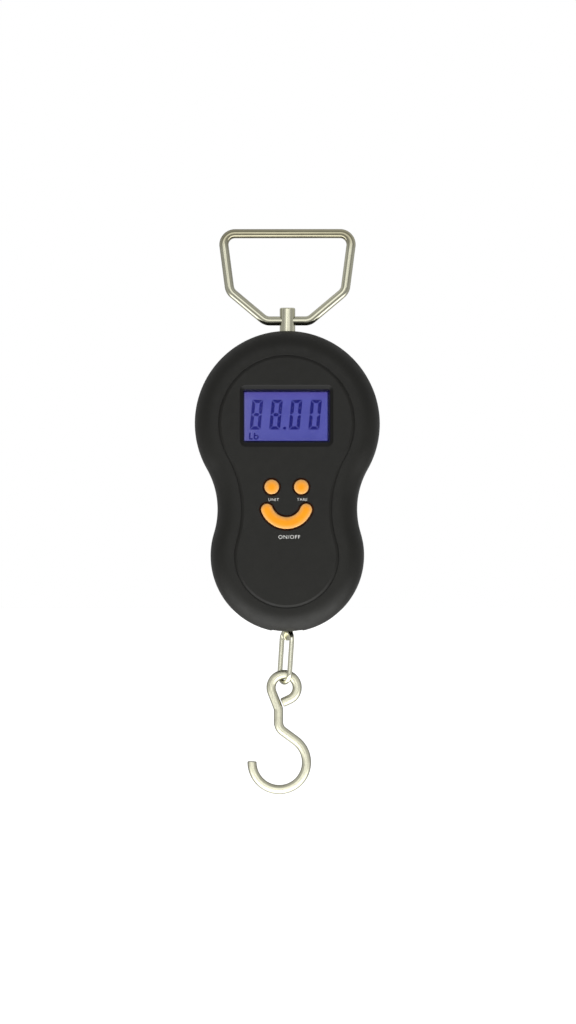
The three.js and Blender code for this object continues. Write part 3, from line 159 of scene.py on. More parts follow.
class Skin:
    """Rings and faces, welded into one closed surface at the end."""

    def __init__(self):
        self.points = []
        self.faces = []

    def ring(self, outline, y):
        first = len(self.points)
        self.points += [(x, y, z) for x, z in outline]
        return list(range(first, len(self.points)))

    def band(self, a, b):
        for i in range(len(a)):
            j = (i + 1) % len(a)
            self.faces.append((a[i], a[j], b[j], b[i]))

    def stack(self, levels):
        """Bands through a list of (outline, y); returns the first and the last ring."""
        rings = [self.ring(outline, y) for outline, y in levels]
        for a, b in zip(rings, rings[1:]):
            self.band(a, b)
        return rings[0], rings[-1]

    def fill(self, outer, holes=()):
        loops = [outer, *holes]
        flat = [[(self.points[i][0], self.points[i][2]) for i in loop] for loop in loops]
        indices = [i for loop in loops for i in loop]
        edges, first = [], 0
        for loop in loops:
            count = len(loop)
            edges += [(first + i, first + (i + 1) % count) for i in range(count)]
            first += count
        coords = [Vector(p) for shape in flat for p in shape]
        _, _, triangles, sources, _, _ = delaunay_2d_cdt(coords, edges, [], 0, 1e-5)
        for triangle in triangles:
            corners = [sources[i][0] for i in triangle]
            middle = sum((coords[i] for i in corners), Vector((0, 0))) / 3
            if inside(middle, flat[0]) and not any(inside(middle, hole) for hole in flat[1:]):
                self.faces.append(tuple(indices[i] for i in corners))

    def mesh(self, name):
        return weld(name, self.points, self.faces)


def weld(name, points, faces):
    mesh = bpy.data.meshes.new(name)
    mesh.from_pydata([Vector(p) * MM for p in points], [], faces)
    bm = bmesh.new()
    bm.from_mesh(mesh)
    bmesh.ops.remove_doubles(bm, verts=bm.verts, dist=0.002 * MM)
    bmesh.ops.recalc_face_normals(bm, faces=bm.faces)
    bm.to_mesh(mesh)
    bm.free()
    return mesh


def lathe(name, profile, centre=(0, 0, 0), along="Z", sides=64):
    """A turned mesh from [radius, distance along the axis] pairs."""
    points, faces = [], []
    for r, t in profile:
        for i in range(sides):
            a = 2 * math.pi * i / sides
            u, v = r * math.cos(a), r * math.sin(a)
            place = (u, v, t) if along == "Z" else (u, t, v) if along == "Y" else (t, u, v)
            points.append(tuple(c + p for c, p in zip(centre, place)))
    for level in range(len(profile) - 1):
        for i in range(sides):
            j = (i + 1) % sides
            a, b = level * sides, (level + 1) * sides
            faces.append((a + i, a + j, b + j, b + i))
    return weld(name, points, faces)


def shape_object(mesh, name="shape"):
    made = bpy.data.objects.new(name, mesh)
    bpy.context.scene.collection.objects.link(made)
    return made


def boolean(mesh, tools, operation):
    """The mesh joined with or cut by each of the tool meshes."""
    body = shape_object(mesh)
    for tool in tools:
        other = shape_object(tool)
        step = body.modifiers.new("step", "BOOLEAN")
        step.operation, step.object, step.solver = operation, other, "EXACT"
        graph = bpy.context.evaluated_depsgraph_get()
        result = bpy.data.meshes.new_from_object(body.evaluated_get(graph))
        body.modifiers.clear()
        body.data = result
        bpy.data.objects.remove(other)
    result = body.data
    bpy.data.objects.remove(body)
    return result


def bar(start, end, radius, along, sides=48):
    """A plain round cutter between two heights on an axis through start."""
    place = {"X": 0, "Y": 1, "Z": 2}[along]
    centre = list(start)
    centre[place] = 0
    low, high = start[place], end
    profile = [(0, low), (radius, low), (radius, high), (0, high)]
    return lathe("bar", profile, centre, along, sides)


def slab(name, outline, low, high):
    """A plain prism along Y."""
    skin = Skin()
    near, far = skin.stack([(outline, low), (outline, high)])
    skin.fill(near)
    skin.fill(far)
    return skin.mesh(name)


# Wires

def stations(x, z, radius, start, end, step=3.0):
    turn = 1 if end > start else -1
    out = []
    for px, pz in arc(x, z, radius, start, end, step):
        normal = Vector((px - x, pz - z)).normalized()
        out.append((Vector((px, pz)), Vector((-normal.y * turn, normal.x * turn))))
    return out


def corner(before, middle, after, radius, step=3.0):
    into, away = (middle - before).normalized(), (after - middle).normalized()
    turn = 1 if into.x * away.y - into.y * away.x > 0 else -1
    bend = math.acos(max(-1, min(1, into.dot(away))))
    start = middle - into * radius * math.tan(bend / 2)
    centre = start + Vector((-into.y, into.x)) * turn * radius
    first = math.degrees(math.atan2(start.y - centre.y, start.x - centre.x))
    return stations(centre.x, centre.y, radius, first, first + turn * math.degrees(bend), step)


def wire(name, path, diameter, place=Matrix.Identity(4), sides=32, edge=0.25):
    """A round wire along a flat path of (point, direction), with chamfered ends and a lengthwise UV map."""
    radius = diameter / 2
    first, last = path[0], path[-1]
    path = ([(first[0], first[1], radius - edge), (first[0] + first[1] * edge, first[1], radius)]
            + [(p, d, radius) for p, d in path[1:-1]]
            + [(last[0] - last[1] * edge, last[1], radius), (last[0], last[1], radius - edge)])
    bm = bmesh.new()
    uv = bm.loops.layers.uv.new("along")
    rings, lengths, run = [], [], 0.0
    for i, (p, d, r) in enumerate(path):
        if i:
            run += (p - path[i - 1][0]).length
        lengths.append(run)
        side = Vector((-d.y, 0, d.x))
        ring = []
        for k in range(sides):
            a = 2 * math.pi * k / sides
            offset = Vector((0, 1, 0)) * math.cos(a) + side * math.sin(a)
            ring.append(bm.verts.new(place @ ((Vector((p.x, 0, p.y)) + offset * r) * MM)))
        rings.append(ring)
    for i in range(len(rings) - 1):
        for k in range(sides):
            n = (k + 1) % sides
            face = bm.faces.new((rings[i][k], rings[i][n], rings[i + 1][n], rings[i + 1][k]))
            marks = ((i, k), (i, k + 1), (i + 1, k + 1), (i + 1, k))
            for loop, (row, column) in zip(face.loops, marks):
                loop[uv].uv = (lengths[row] / 10, column / sides)
    for ring in (rings[0], rings[-1]):
        face = bm.faces.new(ring)
        for loop in face.loops:
            loop[uv].uv = (0, 0)
    bmesh.ops.recalc_face_normals(bm, faces=bm.faces)
    mesh = bpy.data.meshes.new(name)
    bm.to_mesh(mesh)
    bm.free()
    return mesh


# Materials

def scaled(colour, factor):
    return tuple(min(1, c * factor) for c in colour)


class Paint:
    """A node material with a Principled shader, and short calls for what it is fed."""

    def __init__(self, name, colour, roughness, metallic=0.0, specular=0.5):
        self.material = bpy.data.materials.new(name)
        self.material.use_nodes = True
        self.nodes = self.material.node_tree.nodes
        self.links = self.material.node_tree.links
        self.shader = self.nodes["Principled BSDF"]
        self.set("Base Color", (*colour, 1))
        self.set("Roughness", roughness)
        self.set("Metallic", metallic)
        self.set("Specular IOR Level", specular)
        self.spot = self.nodes.new("ShaderNodeTexCoord").outputs["Object"]
        self.relief = None

    def set(self, socket, value):
        self.shader.inputs[socket].default_value = value

    def feed(self, socket, output):
        self.links.new(output, self.shader.inputs[socket])

    def stretched(self, source, scale, shift=(0, 0, 0)):
        node = self.nodes.new("ShaderNodeMapping")
        node.inputs["Scale"].default_value = scale
        node.inputs["Location"].default_value = shift
        self.links.new(source, node.inputs["Vector"])
        return node.outputs["Vector"]

    def noise(self, size_mm, detail=3.0, roughness=0.55, vector=None):
        node = self.nodes.new("ShaderNodeTexNoise")
        node.inputs["Scale"].default_value = 1 / (size_mm * MM)
        node.inputs["Detail"].default_value = detail
        node.inputs["Roughness"].default_value = roughness
        self.links.new(vector or self.spot, node.inputs["Vector"])
        return node.outputs["Fac"]

    def ramp(self, value, stops):
        """Grey or colour stops as (position, colour or number)."""
        node = self.nodes.new("ShaderNodeValToRGB")
        elements = node.color_ramp.elements
        while len(elements) < len(stops):
            elements.new(0.5)
        for element, (at, colour) in zip(elements, stops):
            element.position = at
            element.color = (*colour, 1) if isinstance(colour, tuple) else (colour, colour, colour, 1)
        self.links.new(value, node.inputs["Fac"])
        return node.outputs["Color"]

    def mix(self, factor, a, b, how="MIX"):
        node = self.nodes.new("ShaderNodeMix")
        node.data_type, node.blend_type = "RGBA", how
        for name, value in (("Factor", factor), ("A", a), ("B", b)):
            socket = [s for s in node.inputs if s.name == name and s.enabled][0]
            if isinstance(value, bpy.types.NodeSocket):
                self.links.new(value, socket)
            else:
                socket.default_value = value if name == "Factor" else (*value, 1)
        return [s for s in node.outputs if s.enabled][0]

    def math(self, how, a, b):
        node = self.nodes.new("ShaderNodeMath")
        node.operation = how
        for socket, value in zip(node.inputs, (a, b)):
            if isinstance(value, bpy.types.NodeSocket):
                self.links.new(value, socket)
            else:
                socket.default_value = value
        return node.outputs["Value"]

    def axis(self, letter, source=None):
        node = self.nodes.new("ShaderNodeSeparateXYZ")
        self.links.new(source or self.spot, node.inputs[0])
        return node.outputs[letter]

    def bump(self, height, depth_mm, strength=1.0):
        node = self.nodes.new("ShaderNodeBump")
        node.inputs["Strength"].default_value = strength
        node.inputs["Distance"].default_value = depth_mm * MM
        self.links.new(height, node.inputs["Height"])
        if self.relief:
            self.links.new(self.relief, node.inputs["Normal"])
        self.relief = node.outputs["Normal"]
        self.feed("Normal", self.relief)

    def rough(self, value, low, high):
        self.feed("Roughness", self.ramp(value, [(0.3, low), (0.7, high)]))


def moulded(name, colour, roughness, grain_mm=0.3, grain_depth=0.02, specular=0.4, chamfer=False):
    """Moulded plastic with a fine spark-eroded grain and slight handling polish."""
    paint = Paint(name, colour, roughness, specular=specular)
    shade = paint.ramp(paint.noise(9, 2), [(0.3, scaled(colour, 0.9)), (0.7, scaled(colour, 1.12))])
    polish = paint.ramp(paint.noise(3, 4), [(0.3, roughness - 0.05), (0.7, roughness + 0.07)])
    grain = paint.noise(grain_mm, 2)
    if chamfer:
        frame_mask = chamfer_mask(paint)
        shade = paint.mix(frame_mask, shade, scaled(colour, 0.35))
        polish = paint.mix(frame_mask, polish, (0.3, 0.3, 0.3))
        grain = paint.math("MULTIPLY", grain, paint.math("SUBTRACT", 1.0, frame_mask))
    paint.feed("Base Color", shade)
    paint.feed("Roughness", polish)
    paint.bump(grain, grain_depth)
    return paint.material


def key_material():
    """Satin orange plastic, paler round its rounded rim in painted sheen, and darkened down in the gap round
    the key in painted shade.
    """
    colour, painted_sheen_colour, painted_shade_colour = (0.93, 0.33, 0.004), (0.8, 0.42, 0.13), (0.13, 0.03, 0.0)
    paint = Paint("key_plastic", colour, 0.42, specular=0.15)
    paint.set("Sheen Weight", 0.25)
    paint.set("Sheen Roughness", 0.35)
    shade = paint.ramp(paint.noise(5, 2), [(0.3, scaled(colour, 0.94)), (0.7, scaled(colour, 1.04))])
    depth = paint.math("DIVIDE", paint.math("SUBTRACT", paint.axis("Y"), KEY_FRONT * MM), 1.0 * MM)
    # Painted sheen: towards the rim the colour turns paler, standing in for reflection on the rounded edge.
    shade = paint.mix(paint.ramp(depth, [(0.0, 0.0), (0.1, 0.4), (0.27, 0.9), (0.4, 1.0)]), shade, painted_sheen_colour)
    # Painted shade: deep in the gap the colour turns dark brown, standing in for the shadow there.
    paint.feed("Base Color", paint.mix(paint.ramp(depth, [(0.7, 0.0), (0.95, 1.0)]), shade, painted_shade_colour))
    paint.rough(paint.noise(2, 3), 0.38, 0.48)
    paint.bump(paint.noise(0.4, 2), 0.01)
    return paint.material


def chamfer_mask(paint):
    """1 on the smooth darker chamfer round the window, 0 elsewhere."""
    across = paint.math("LESS_THAN", paint.math("ABSOLUTE", paint.axis("X"), 0),
                        (WINDOW_HALF[0] + WINDOW_BEVEL[0]) * MM)
    height = paint.math("ABSOLUTE", paint.math("SUBTRACT", paint.axis("Z"), WINDOW_Z * MM), 0)
    up = paint.math("LESS_THAN", height, (WINDOW_HALF[1] + WINDOW_BEVEL[1]) * MM)
    deep = paint.math("GREATER_THAN", paint.axis("Y"), (PANEL_Y + 0.06) * MM)
    front = paint.math("LESS_THAN", paint.axis("Y"), PANEL_REAR_Y * MM)
    return paint.math("MULTIPLY", paint.math("MULTIPLY", across, up), paint.math("MULTIPLY", deep, front))


def drawn_wire(name, colour, roughness, contrast, along_uv=True, shade_above=None, rim=1.0):
    """Plated wire: long draw lines, darker die marks whose strong contrast is partly painted dark reflection
    lines, and a faint mottling.

    It is darker above a given height, in painted shade, and darker at its rim where rim is under 1, in
    painted shade at grazing angles.
    """
    paint = Paint(name, colour, roughness, metallic=1.0)
    if along_uv:
        node = paint.nodes.new("ShaderNodeUVMap")
        node.uv_map = "along"
        lengthwise = paint.stretched(node.outputs["UV"], (0.00006, 0.0085, 1))
        fine = paint.stretched(node.outputs["UV"], (0.0002, 0.03, 1))
    else:
        lengthwise = paint.stretched(paint.spot, (0.6, 0.6, 0.012))
        fine = paint.stretched(paint.spot, (2, 2, 0.03))
    marks = paint.noise(0.4, 2, vector=lengthwise)
    lines = paint.noise(0.4, 3, vector=fine)
    mottle = paint.noise(2.5, 3)
    # Die marks, partly painted reflection: their strong contrast stands in for dark reflection lines along
    # the wire.
    shade = paint.ramp(marks, [(0.36, scaled(colour, 1 - contrast)), (0.45, scaled(colour, 1 - contrast / 3)),
                               (0.52, scaled(colour, 0.98)), (0.62, scaled(colour, 1.2))])
    shade = paint.mix(0.35, shade, paint.ramp(lines, [(0.38, scaled(colour, 0.5)), (0.58, colour)]))
    shade = paint.mix(0.2, shade, paint.ramp(mottle, [(0.3, scaled(colour, 0.75)), (0.7, colour)]))
    # Painted shade: above the given height the colour is multiplied darker.
    if shade_above is not None:
        height = paint.math("DIVIDE", paint.math("SUBTRACT", paint.axis("Z"), shade_above * MM), 10 * MM)
        shade = paint.mix(paint.ramp(height, [(0.0, 0.0), (0.45, 1.0)]), shade,
                          paint.mix(1.0, shade, (0.66, 0.63, 0.56), "MULTIPLY"))
    # Painted shade: the colour is darkened where the surface turns away from the view.
    if rim < 1:
        facing = paint.nodes.new("ShaderNodeLayerWeight").outputs["Facing"]
        shade = paint.mix(paint.ramp(facing, [(0.15, 0.0), (0.6, 1.0)]), shade,
                          paint.mix(1.0, shade, (rim, rim, rim), "MULTIPLY"))
    paint.feed("Base Color", shade)
    paint.rough(mottle, roughness - 0.04, roughness + 0.06)
    paint.bump(marks, 0.02, contrast / 2)
    paint.bump(lines, 0.008, 0.5)
    return paint.material


def machined(name, colour, roughness):
    """Plain machined or plated metal with fine tool marks."""
    paint = Paint(name, colour, roughness, metallic=1.0)
    marks = paint.noise(0.25, 2, vector=paint.stretched(paint.spot, (1, 1, 0.15)))
    paint.feed("Base Color", paint.ramp(paint.noise(2, 3), [
        (0.3, tuple(c * 0.85 for c in colour)), (0.7, colour)]))
    paint.rough(marks, roughness - 0.07, roughness + 0.1)
    paint.bump(marks, 0.01, 0.5)
    return paint.material


def glossy_plastic(name, colour, roughness=0.3):
    paint = Paint(name, colour, roughness)
    paint.rough(paint.noise(1.5, 3), roughness - 0.06, roughness + 0.08)
    paint.feed("Base Color", paint.ramp(paint.noise(4, 2), [
        (0.3, tuple(c * 0.88 for c in colour)), (0.7, colour)]))
    paint.bump(paint.noise(0.6, 2), 0.006, 0.5)
    return paint.material


def display_material():
    """Backlit liquid crystal: blue, paler at its left, violet above, with painted shadow lines at its other
    sides.
    """
    paint = Paint("display_blue", (0.006, 0.006, 0.03), 0.4, specular=0.1)
    across = paint.math("DIVIDE", paint.axis("X"), WINDOW_HALF[0] * MM)
    across = paint.math("MULTIPLY", paint.math("ADD", across, 1.0), 0.5)
    height = paint.math("DIVIDE", paint.math("SUBTRACT", paint.axis("Z"), (WINDOW_Z - WINDOW_HALF[1]) * MM),
                        2 * WINDOW_HALF[1] * MM)
    cloud = paint.ramp(paint.noise(7, 2), [(0.3, (0.072, 0.076, 0.33)), (0.7, (0.088, 0.092, 0.38))])
    pale, violet, dark = (0.15, 0.145, 0.36), (0.084, 0.066, 0.32), (0.004, 0.004, 0.03)
    glow = paint.mix(paint.ramp(across, [(0.0, 0.75), (0.025, 0.4), (0.14, 0.1), (0.5, 0.0)]), cloud, pale)
    glow = paint.mix(paint.ramp(height, [(0.8, 0.0), (0.95, 0.7)]), glow, violet)
    # Painted shadow: dark lines along the right, bottom and top edges, where the frame shades the display.
    glow = paint.mix(paint.ramp(across, [(0.978, 0.0), (0.986, 1.0)]), glow, dark)
    glow = paint.mix(paint.ramp(height, [(0.004, 1.0), (0.01, 0.0), (0.965, 0.0), (0.98, 1.0)]), glow, dark)
    paint.feed("Emission Color", glow)
    paint.set("Emission Strength", 1.0)
    paint.bump(paint.noise(0.35, 1), 0.004, 0.4)
    return paint.material


def ink(name, colour, emission=0.0):
    paint = Paint(name, colour, 0.5, specular=0.1)
    base = scaled(colour, 0.1) if emission else colour
    paint.feed("Base Color", paint.ramp(paint.noise(0.5, 2), [(0.25, scaled(base, 0.86)), (0.7, base)]))
    if emission:
        paint.set("Emission Color", (*colour, 1))
        paint.set("Emission Strength", emission)
    return paint.material


def lens_material():
    paint = Paint("clear_lens", (0.96, 0.97, 0.99), 0.06, specular=0.1)
    paint.set("Transmission Weight", 1.0)
    paint.set("IOR", 1.09)
    paint.rough(paint.noise(6, 2), 0.02, 0.08)
    paint.bump(paint.noise(5, 1), 0.004, 0.3)
    return paint.material


def board_material():
    """Solder mask with faint buried tracks."""
    paint = Paint("circuit_board", (0.02, 0.12, 0.04), 0.35)
    tracks = paint.nodes.new("ShaderNodeTexBrick")
    for socket, value in (("Scale", 1 / (2.5 * MM)), ("Mortar Size", 0.06), ("Row Height", 0.5)):
        tracks.inputs[socket].default_value = value
    for socket, colour in (("Color1", (0.018, 0.11, 0.035, 1)), ("Color2", (0.022, 0.13, 0.045, 1)),
                           ("Mortar", (0.05, 0.2, 0.07, 1))):
        tracks.inputs[socket].default_value = colour
    paint.links.new(paint.stretched(paint.spot, (1, 0.001, 1)), tracks.inputs["Vector"])
    paint.feed("Base Color", tracks.outputs["Color"])
    paint.rough(paint.noise(2, 3), 0.28, 0.42)
    paint.bump(tracks.outputs["Fac"], 0.02, 0.5)
    return paint.material


def battery_material():
    """A plain dark sleeve with a copper band at the small end, over a bright can."""
    paint = Paint("battery_can", (0.03, 0.035, 0.045), 0.3)
    x = paint.axis("X")
    z = paint.axis("Z")
    side = paint.math("GREATER_THAN", x, 0.0)
    from_top = paint.math("SUBTRACT", (TRAY_TOP - 1.1) * MM, z)
    from_bottom = paint.math("SUBTRACT", z, (TRAY_BOTTOM + 1.1) * MM)
    level = paint.math("ADD", paint.math("MULTIPLY", side, from_bottom),
                       paint.math("MULTIPLY", paint.math("SUBTRACT", 1.0, side), from_top))
    share = paint.math("DIVIDE", level, 50 * MM)
    node_colour = paint.ramp(share, [(0.0, (0.55, 0.3, 0.12)), (0.29, (0.55, 0.3, 0.12)),
                                     (0.3, (0.03, 0.035, 0.045)), (1.0, (0.03, 0.035, 0.045))])
    paint.feed("Base Color", node_colour)
    paint.rough(paint.noise(3, 3), 0.22, 0.36)
    paint.set("Metallic", 0.4)
    paint.bump(paint.noise(6, 2), 0.02, 0.4)
    return paint.material


STEEL = (0.62, 0.61, 0.475)
CASE = (0.0078, 0.0077, 0.006)
MATERIALS = {
    "polished_steel": drawn_wire("polished_steel", STEEL, 0.14, 0.6, shade_above=-6),
    "plain_steel": machined("plain_steel", (0.5, 0.5, 0.49), 0.32),
    "case_plastic": moulded("case_plastic", CASE, 0.48, specular=0.27, chamfer=True),
    "key_plastic": key_material(),
    "cell_aluminium": machined("cell_aluminium", (0.62, 0.63, 0.64), 0.35),
    "gauge_foil": machined("gauge_foil", (0.6, 0.35, 0.08), 0.4),
    "circuit_board": board_material(),
    "black_plastic": glossy_plastic("black_plastic", (0.012, 0.012, 0.012)),
    "red_plastic": glossy_plastic("red_plastic", (0.4, 0.02, 0.015)),
    "clear_lens": lens_material(),
    "display_blue": display_material(),
    "diffuser": glossy_plastic("diffuser", (0.25, 0.24, 0.75)),
    "grey_rubber": moulded("grey_rubber", (0.09, 0.09, 0.1), 0.7, 0.5, 0.02, 0.3),
    "battery_can": battery_material(),
    "contact_brass": machined("contact_brass", (0.6, 0.48, 0.25), 0.3),
}
# Brighter copies of the plated steel colour for the turned parts, the link and the hook: their lift in colour
# is painted light.
TURNED_STEEL = drawn_wire("turned_steel", scaled(STEEL, 1.25), 0.17, 0.6, along_uv=False)
LINK_STEEL = drawn_wire("link_steel", scaled(STEEL, 1.5), 0.2, 0.25, rim=0.7)
HOOK_STEEL = drawn_wire("hook_steel", scaled(STEEL, 1.3), 0.42, 0.35, rim=0.35)
LABEL = ink("label_print", (0.9, 0.9, 0.87))
DIGIT = ink("digit_ink", (0.012, 0.012, 0.15), 1.0)
FAINT_DIGIT = ink("faint_digit_ink", (0.018, 0.018, 0.17), 1.0)

for entry in frame["record"]["subparts"]:
    node = frame["nodes"][entry["node"]]
    node.data.materials.clear()
    node.data.materials.append(MATERIALS[entry["material_slot"]])


def piece(name, mesh, body, slot, nodes=(), material=None, sharp=32.0):
    mesh.materials.clear()
    mesh.materials.append(material or MATERIALS[slot])
    mesh.polygons.foreach_set("use_smooth", [True] * len(mesh.polygons))
    mesh.set_sharp_from_angle(angle=math.radians(sharp))
    made = shape_object(mesh, name)
    soft = made.modifiers.new("normals", "WEIGHTED_NORMAL")
    soft.keep_sharp = True
    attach(made, body)
    if nodes:
        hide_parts(*nodes)
    return made


# Case halves

def roll(radius, wall_y, flat_y, inset0=0.0, steps=16):
    """Levels of an edge rolled from the side wall to a flat face."""
    toward = 1 if flat_y > wall_y else -1
    out = []
    for i in range(steps + 1):
        a = math.pi / 2 * i / steps
        out.append((inset0 + radius * (1 - math.cos(a)), flat_y - toward * radius * (1 - math.sin(a))))
    return out


def outline_levels(pairs):
    return [(case_outline(inset), y) for inset, y in pairs]


def end_cutters():
    """What is cut from both halves: the post's hole, the stud's hole and the shallow relief round it."""
    relief = [p for p in case_outline(0.4) if abs(p[0]) < 6 and p[1] < LOWER_Z]
    relief.sort()
    edge = [(-6, relief[0][1]), *relief, (6, relief[-1][1]), (6, CASE_BOTTOM - 2), (-6, CASE_BOTTOM - 2)]
    return [bar((0, 0, CASE_TOP - 6), CASE_TOP + 2, POST_OPENING_R, "Z"),
            bar((0, 0, CASE_BOTTOM - 2), CASE_BOTTOM + 5, STUD_OPENING_R, "Z"), slab("relief", edge, -17, 17)]


def front_case():
    skin = Skin()
    outer = [(SEAM, -0.02), (0, -SEAM)] + roll(FRONT_ROLL, 0, FRONT_Y)
    groove_y = FRONT_Y + GROOVE_DEPTH
    step = [(PANEL_INSET - 0.3, FRONT_Y), (PANEL_INSET - 0.1, FRONT_Y + 0.04), (PANEL_INSET, FRONT_Y + 0.12),
            (PANEL_INSET, groove_y)]
    edge = PANEL_INSET + PANEL_GROOVE / 2
    step += [(edge, groove_y), (edge, PANEL_Y + 0.48), (edge + 0.06, PANEL_Y + 0.45),
             (edge + 0.84, PANEL_Y + 0.03), (edge + 1.0, PANEL_Y)]
    seam_ring, panel = skin.stack(outline_levels(outer + step))
    hx, hz = WINDOW_HALF
    bx, bz = hx + WINDOW_BEVEL[0], hz + WINDOW_BEVEL[1]
    window = skin.stack([
        (rounded(0, WINDOW_Z, bx + 0.3, bz + 0.1, 2.6), PANEL_Y),
        (rounded(0, WINDOW_Z, bx + 0.1, bz - 0.05, 2.4), PANEL_Y + 0.06),
        (rounded(0, WINDOW_Z, bx - 0.05, bz - 0.2, 2.2), PANEL_Y + 0.2),
        (rounded(0, WINDOW_Z, hx + 0.25 * WINDOW_BEVEL[0], hz + 0.25 * WINDOW_BEVEL[1], 0.9), PANEL_Y + 0.7),
        (rounded(0, WINDOW_Z, hx, hz, 0.35), PANEL_REAR_Y - 0.25),
        (rounded(0, WINDOW_Z, hx, hz, 0.35), PANEL_REAR_Y)])
    holes = [window]
    for x in (-KEY_X, KEY_X):
        r = KEY_R + KEY_GAP
        holes.append(skin.stack([
            (circle(x, KEY_Z, r + 0.18), PANEL_Y), (circle(x, KEY_Z, r + 0.05), PANEL_Y + 0.05),
            (circle(x, KEY_Z, r), PANEL_Y + 0.18), (circle(x, KEY_Z, r), PANEL_REAR_Y)]))
    holes.append(skin.stack([(arc_key(KEY_GAP + 0.18), PANEL_Y), (arc_key(KEY_GAP + 0.05), PANEL_Y + 0.05),
                             (arc_key(KEY_GAP), PANEL_Y + 0.18), (arc_key(KEY_GAP), PANEL_REAR_Y)]))
    skin.fill(panel, [h[0] for h in holes])
    inner = roll(FRONT_ROLL - WALL, 0, PANEL_REAR_Y, WALL)
    inner_first, inner_flat = skin.stack(outline_levels([(WALL, -0.02)] + inner))
    skin.fill(inner_flat, [h[1] for h in holes])
    skin.band(seam_ring, inner_first)
    return boolean(skin.mesh("front_case"), end_cutters(), "DIFFERENCE")


def screw_places():
    places = []
    for lobe_r, lobe_z, angle in ((UPPER_R, UPPER_Z, 42), (LOWER_R, LOWER_Z, -21)):
        reach = lobe_r - REAR_ROLL - SCREW_HEAD_R
        a = math.radians(angle)
        places += [(side * reach * math.cos(a), lobe_z + reach * math.sin(a)) for side in (-1, 1)]
    return places


def rear_case():
    skin = Skin()
    outer = [(SEAM, 0.02), (0, SEAM)] + roll(REAR_ROLL, 0, BACK_Y)
    seam_ring, back = skin.stack(outline_levels(outer))
    mid_z, half_z = (DOOR_TOP + DOOR_BOTTOM) / 2, (DOOR_TOP - DOOR_BOTTOM) / 2 + 0.3
    half_x = DOOR_HALF + 0.3
    floor_y = BACK_Y - DOOR_THICK
    recess = skin.stack([
        (rounded(0, mid_z, half_x + 0.15, half_z + 0.15, 1.15, 5.45), BACK_Y),
        (rounded(0, mid_z, half_x, half_z, 1, 5.3), BACK_Y - 0.15),
        (rounded(0, mid_z, half_x, half_z, 1, 5.3), floor_y)])
    skin.fill(back, [recess[0]])
    skin.fill(recess[1])
    tray_mid, tray_half = (TRAY_TOP + TRAY_BOTTOM) / 2, (TRAY_TOP - TRAY_BOTTOM) / 2
    inner = roll(REAR_ROLL - WALL, 0, BACK_Y - WALL, WALL)
    inner_first, inner_flat = skin.stack(outline_levels([(WALL, 0.02)] + inner))
    skin.fill(inner_flat)
    skin.band(seam_ring, inner_first)
    mesh = skin.mesh("rear_case")
    inside_parts = [bar((x, BACK_Y - 6, z), BACK_Y - 1, 3.5, "Y") for x, z in screw_places()]
    tray_outline = rounded(0, tray_mid, BATTERY_X + POCKET_R + 1.1, tray_half + 1.1, 1)
    inside_parts.append(slab("tray", tray_outline, 1.0, BACK_Y - 1.9))
    mesh = boolean(mesh, inside_parts, "UNION")
    cutters = end_cutters()
    cutters += [bar((x, BACK_Y - SCREW_SINK, z), BACK_Y + 1, SCREW_HEAD_R + 0.3, "Y")
                for x, z in screw_places()]
    for side in (-1, 1):
        outline = rounded(side * BATTERY_X, tray_mid, POCKET_R, tray_half, 0.3)
        cutters.append(slab("pocket", outline, 2.1, floor_y + 0.3))
    return boolean(mesh, cutters, "DIFFERENCE")


def battery_door():
    skin = Skin()
    mid_z, half_z = (DOOR_TOP + DOOR_BOTTOM) / 2, (DOOR_TOP - DOOR_BOTTOM) / 2
    inner_y = BACK_Y - DOOR_THICK + 0.2
    low, high = skin.stack([
        (rounded(0, mid_z, DOOR_HALF, half_z, 1, 5), inner_y),
        (rounded(0, mid_z, DOOR_HALF, half_z, 1, 5), BACK_Y - 0.25),
        (rounded(0, mid_z, DOOR_HALF - 0.07, half_z - 0.07, 0.95, 4.95), BACK_Y - 0.07),
        (rounded(0, mid_z, DOOR_HALF - 0.25, half_z - 0.25, 0.8, 4.8), BACK_Y)])
    skin.fill(low)
    thumb_z = DOOR_BOTTOM + 7
    dish = skin.stack([
        (rounded(0, thumb_z, 5.6, 2.1, 2.05), BACK_Y),
        (rounded(0, thumb_z, 5.45, 1.95, 1.9), BACK_Y - 0.06),
        (rounded(0, thumb_z, 5.2, 1.7, 1.65), BACK_Y - 0.5),
        (rounded(0, thumb_z, 4.9, 1.4, 1.35), BACK_Y - 0.6)])
    skin.fill(high, [dish[0]])
    skin.fill(dish[1])
    mesh = skin.mesh("battery_door")
    ribs = []
    for i in range(5):
        x = (i - 2) * 1.9
        rib = Skin()
        a, b = rib.stack([(rounded(x, thumb_z, 0.3, 1.5, 0.29), BACK_Y - 0.8),
                          (rounded(x, thumb_z, 0.3, 1.5, 0.29), BACK_Y - 0.2),
                          (rounded(x, thumb_z, 0.15, 1.35, 0.14), BACK_Y - 0.1)])
        rib.fill(a)
        rib.fill(b)
        ribs.append(rib.mesh("rib"))
    for side in (-1, 1):
        x = side * BATTERY_X
        ribs.append(slab("tab", rounded(x, DOOR_TOP - 0.55, 2, 1.85, 0.4), inner_y - 1.1, inner_y - 0.25))
        ribs.append(slab("neck", rounded(x, DOOR_TOP - 1.8, 2, 0.6, 0.2), inner_y - 0.6, inner_y + 0.3))
    return boolean(mesh, ribs, "UNION")


piece("front_shell", front_case(), "case", "case_plastic", ["front_case"])
piece("rear_shell", rear_case(), "case", "case_plastic", ["rear_case"])
piece("door_cover", battery_door(), "door", "case_plastic", ["battery_door"])


# Screws

def cross_cutters(x, z, top):
    cutters = []
    for half in ((1.35, 0.32), (0.32, 1.35)):
        slot = Skin()
        a, b = slot.stack([(rounded(x, z, half[0], half[1], 0.1), top + 0.5),
                           (rounded(x, z, half[0] * 0.75, half[1], 0.1), top - 0.9)])
        slot.fill(a)
        slot.fill(b)
        cutters.append(slot.mesh("slot"))
    return cutters


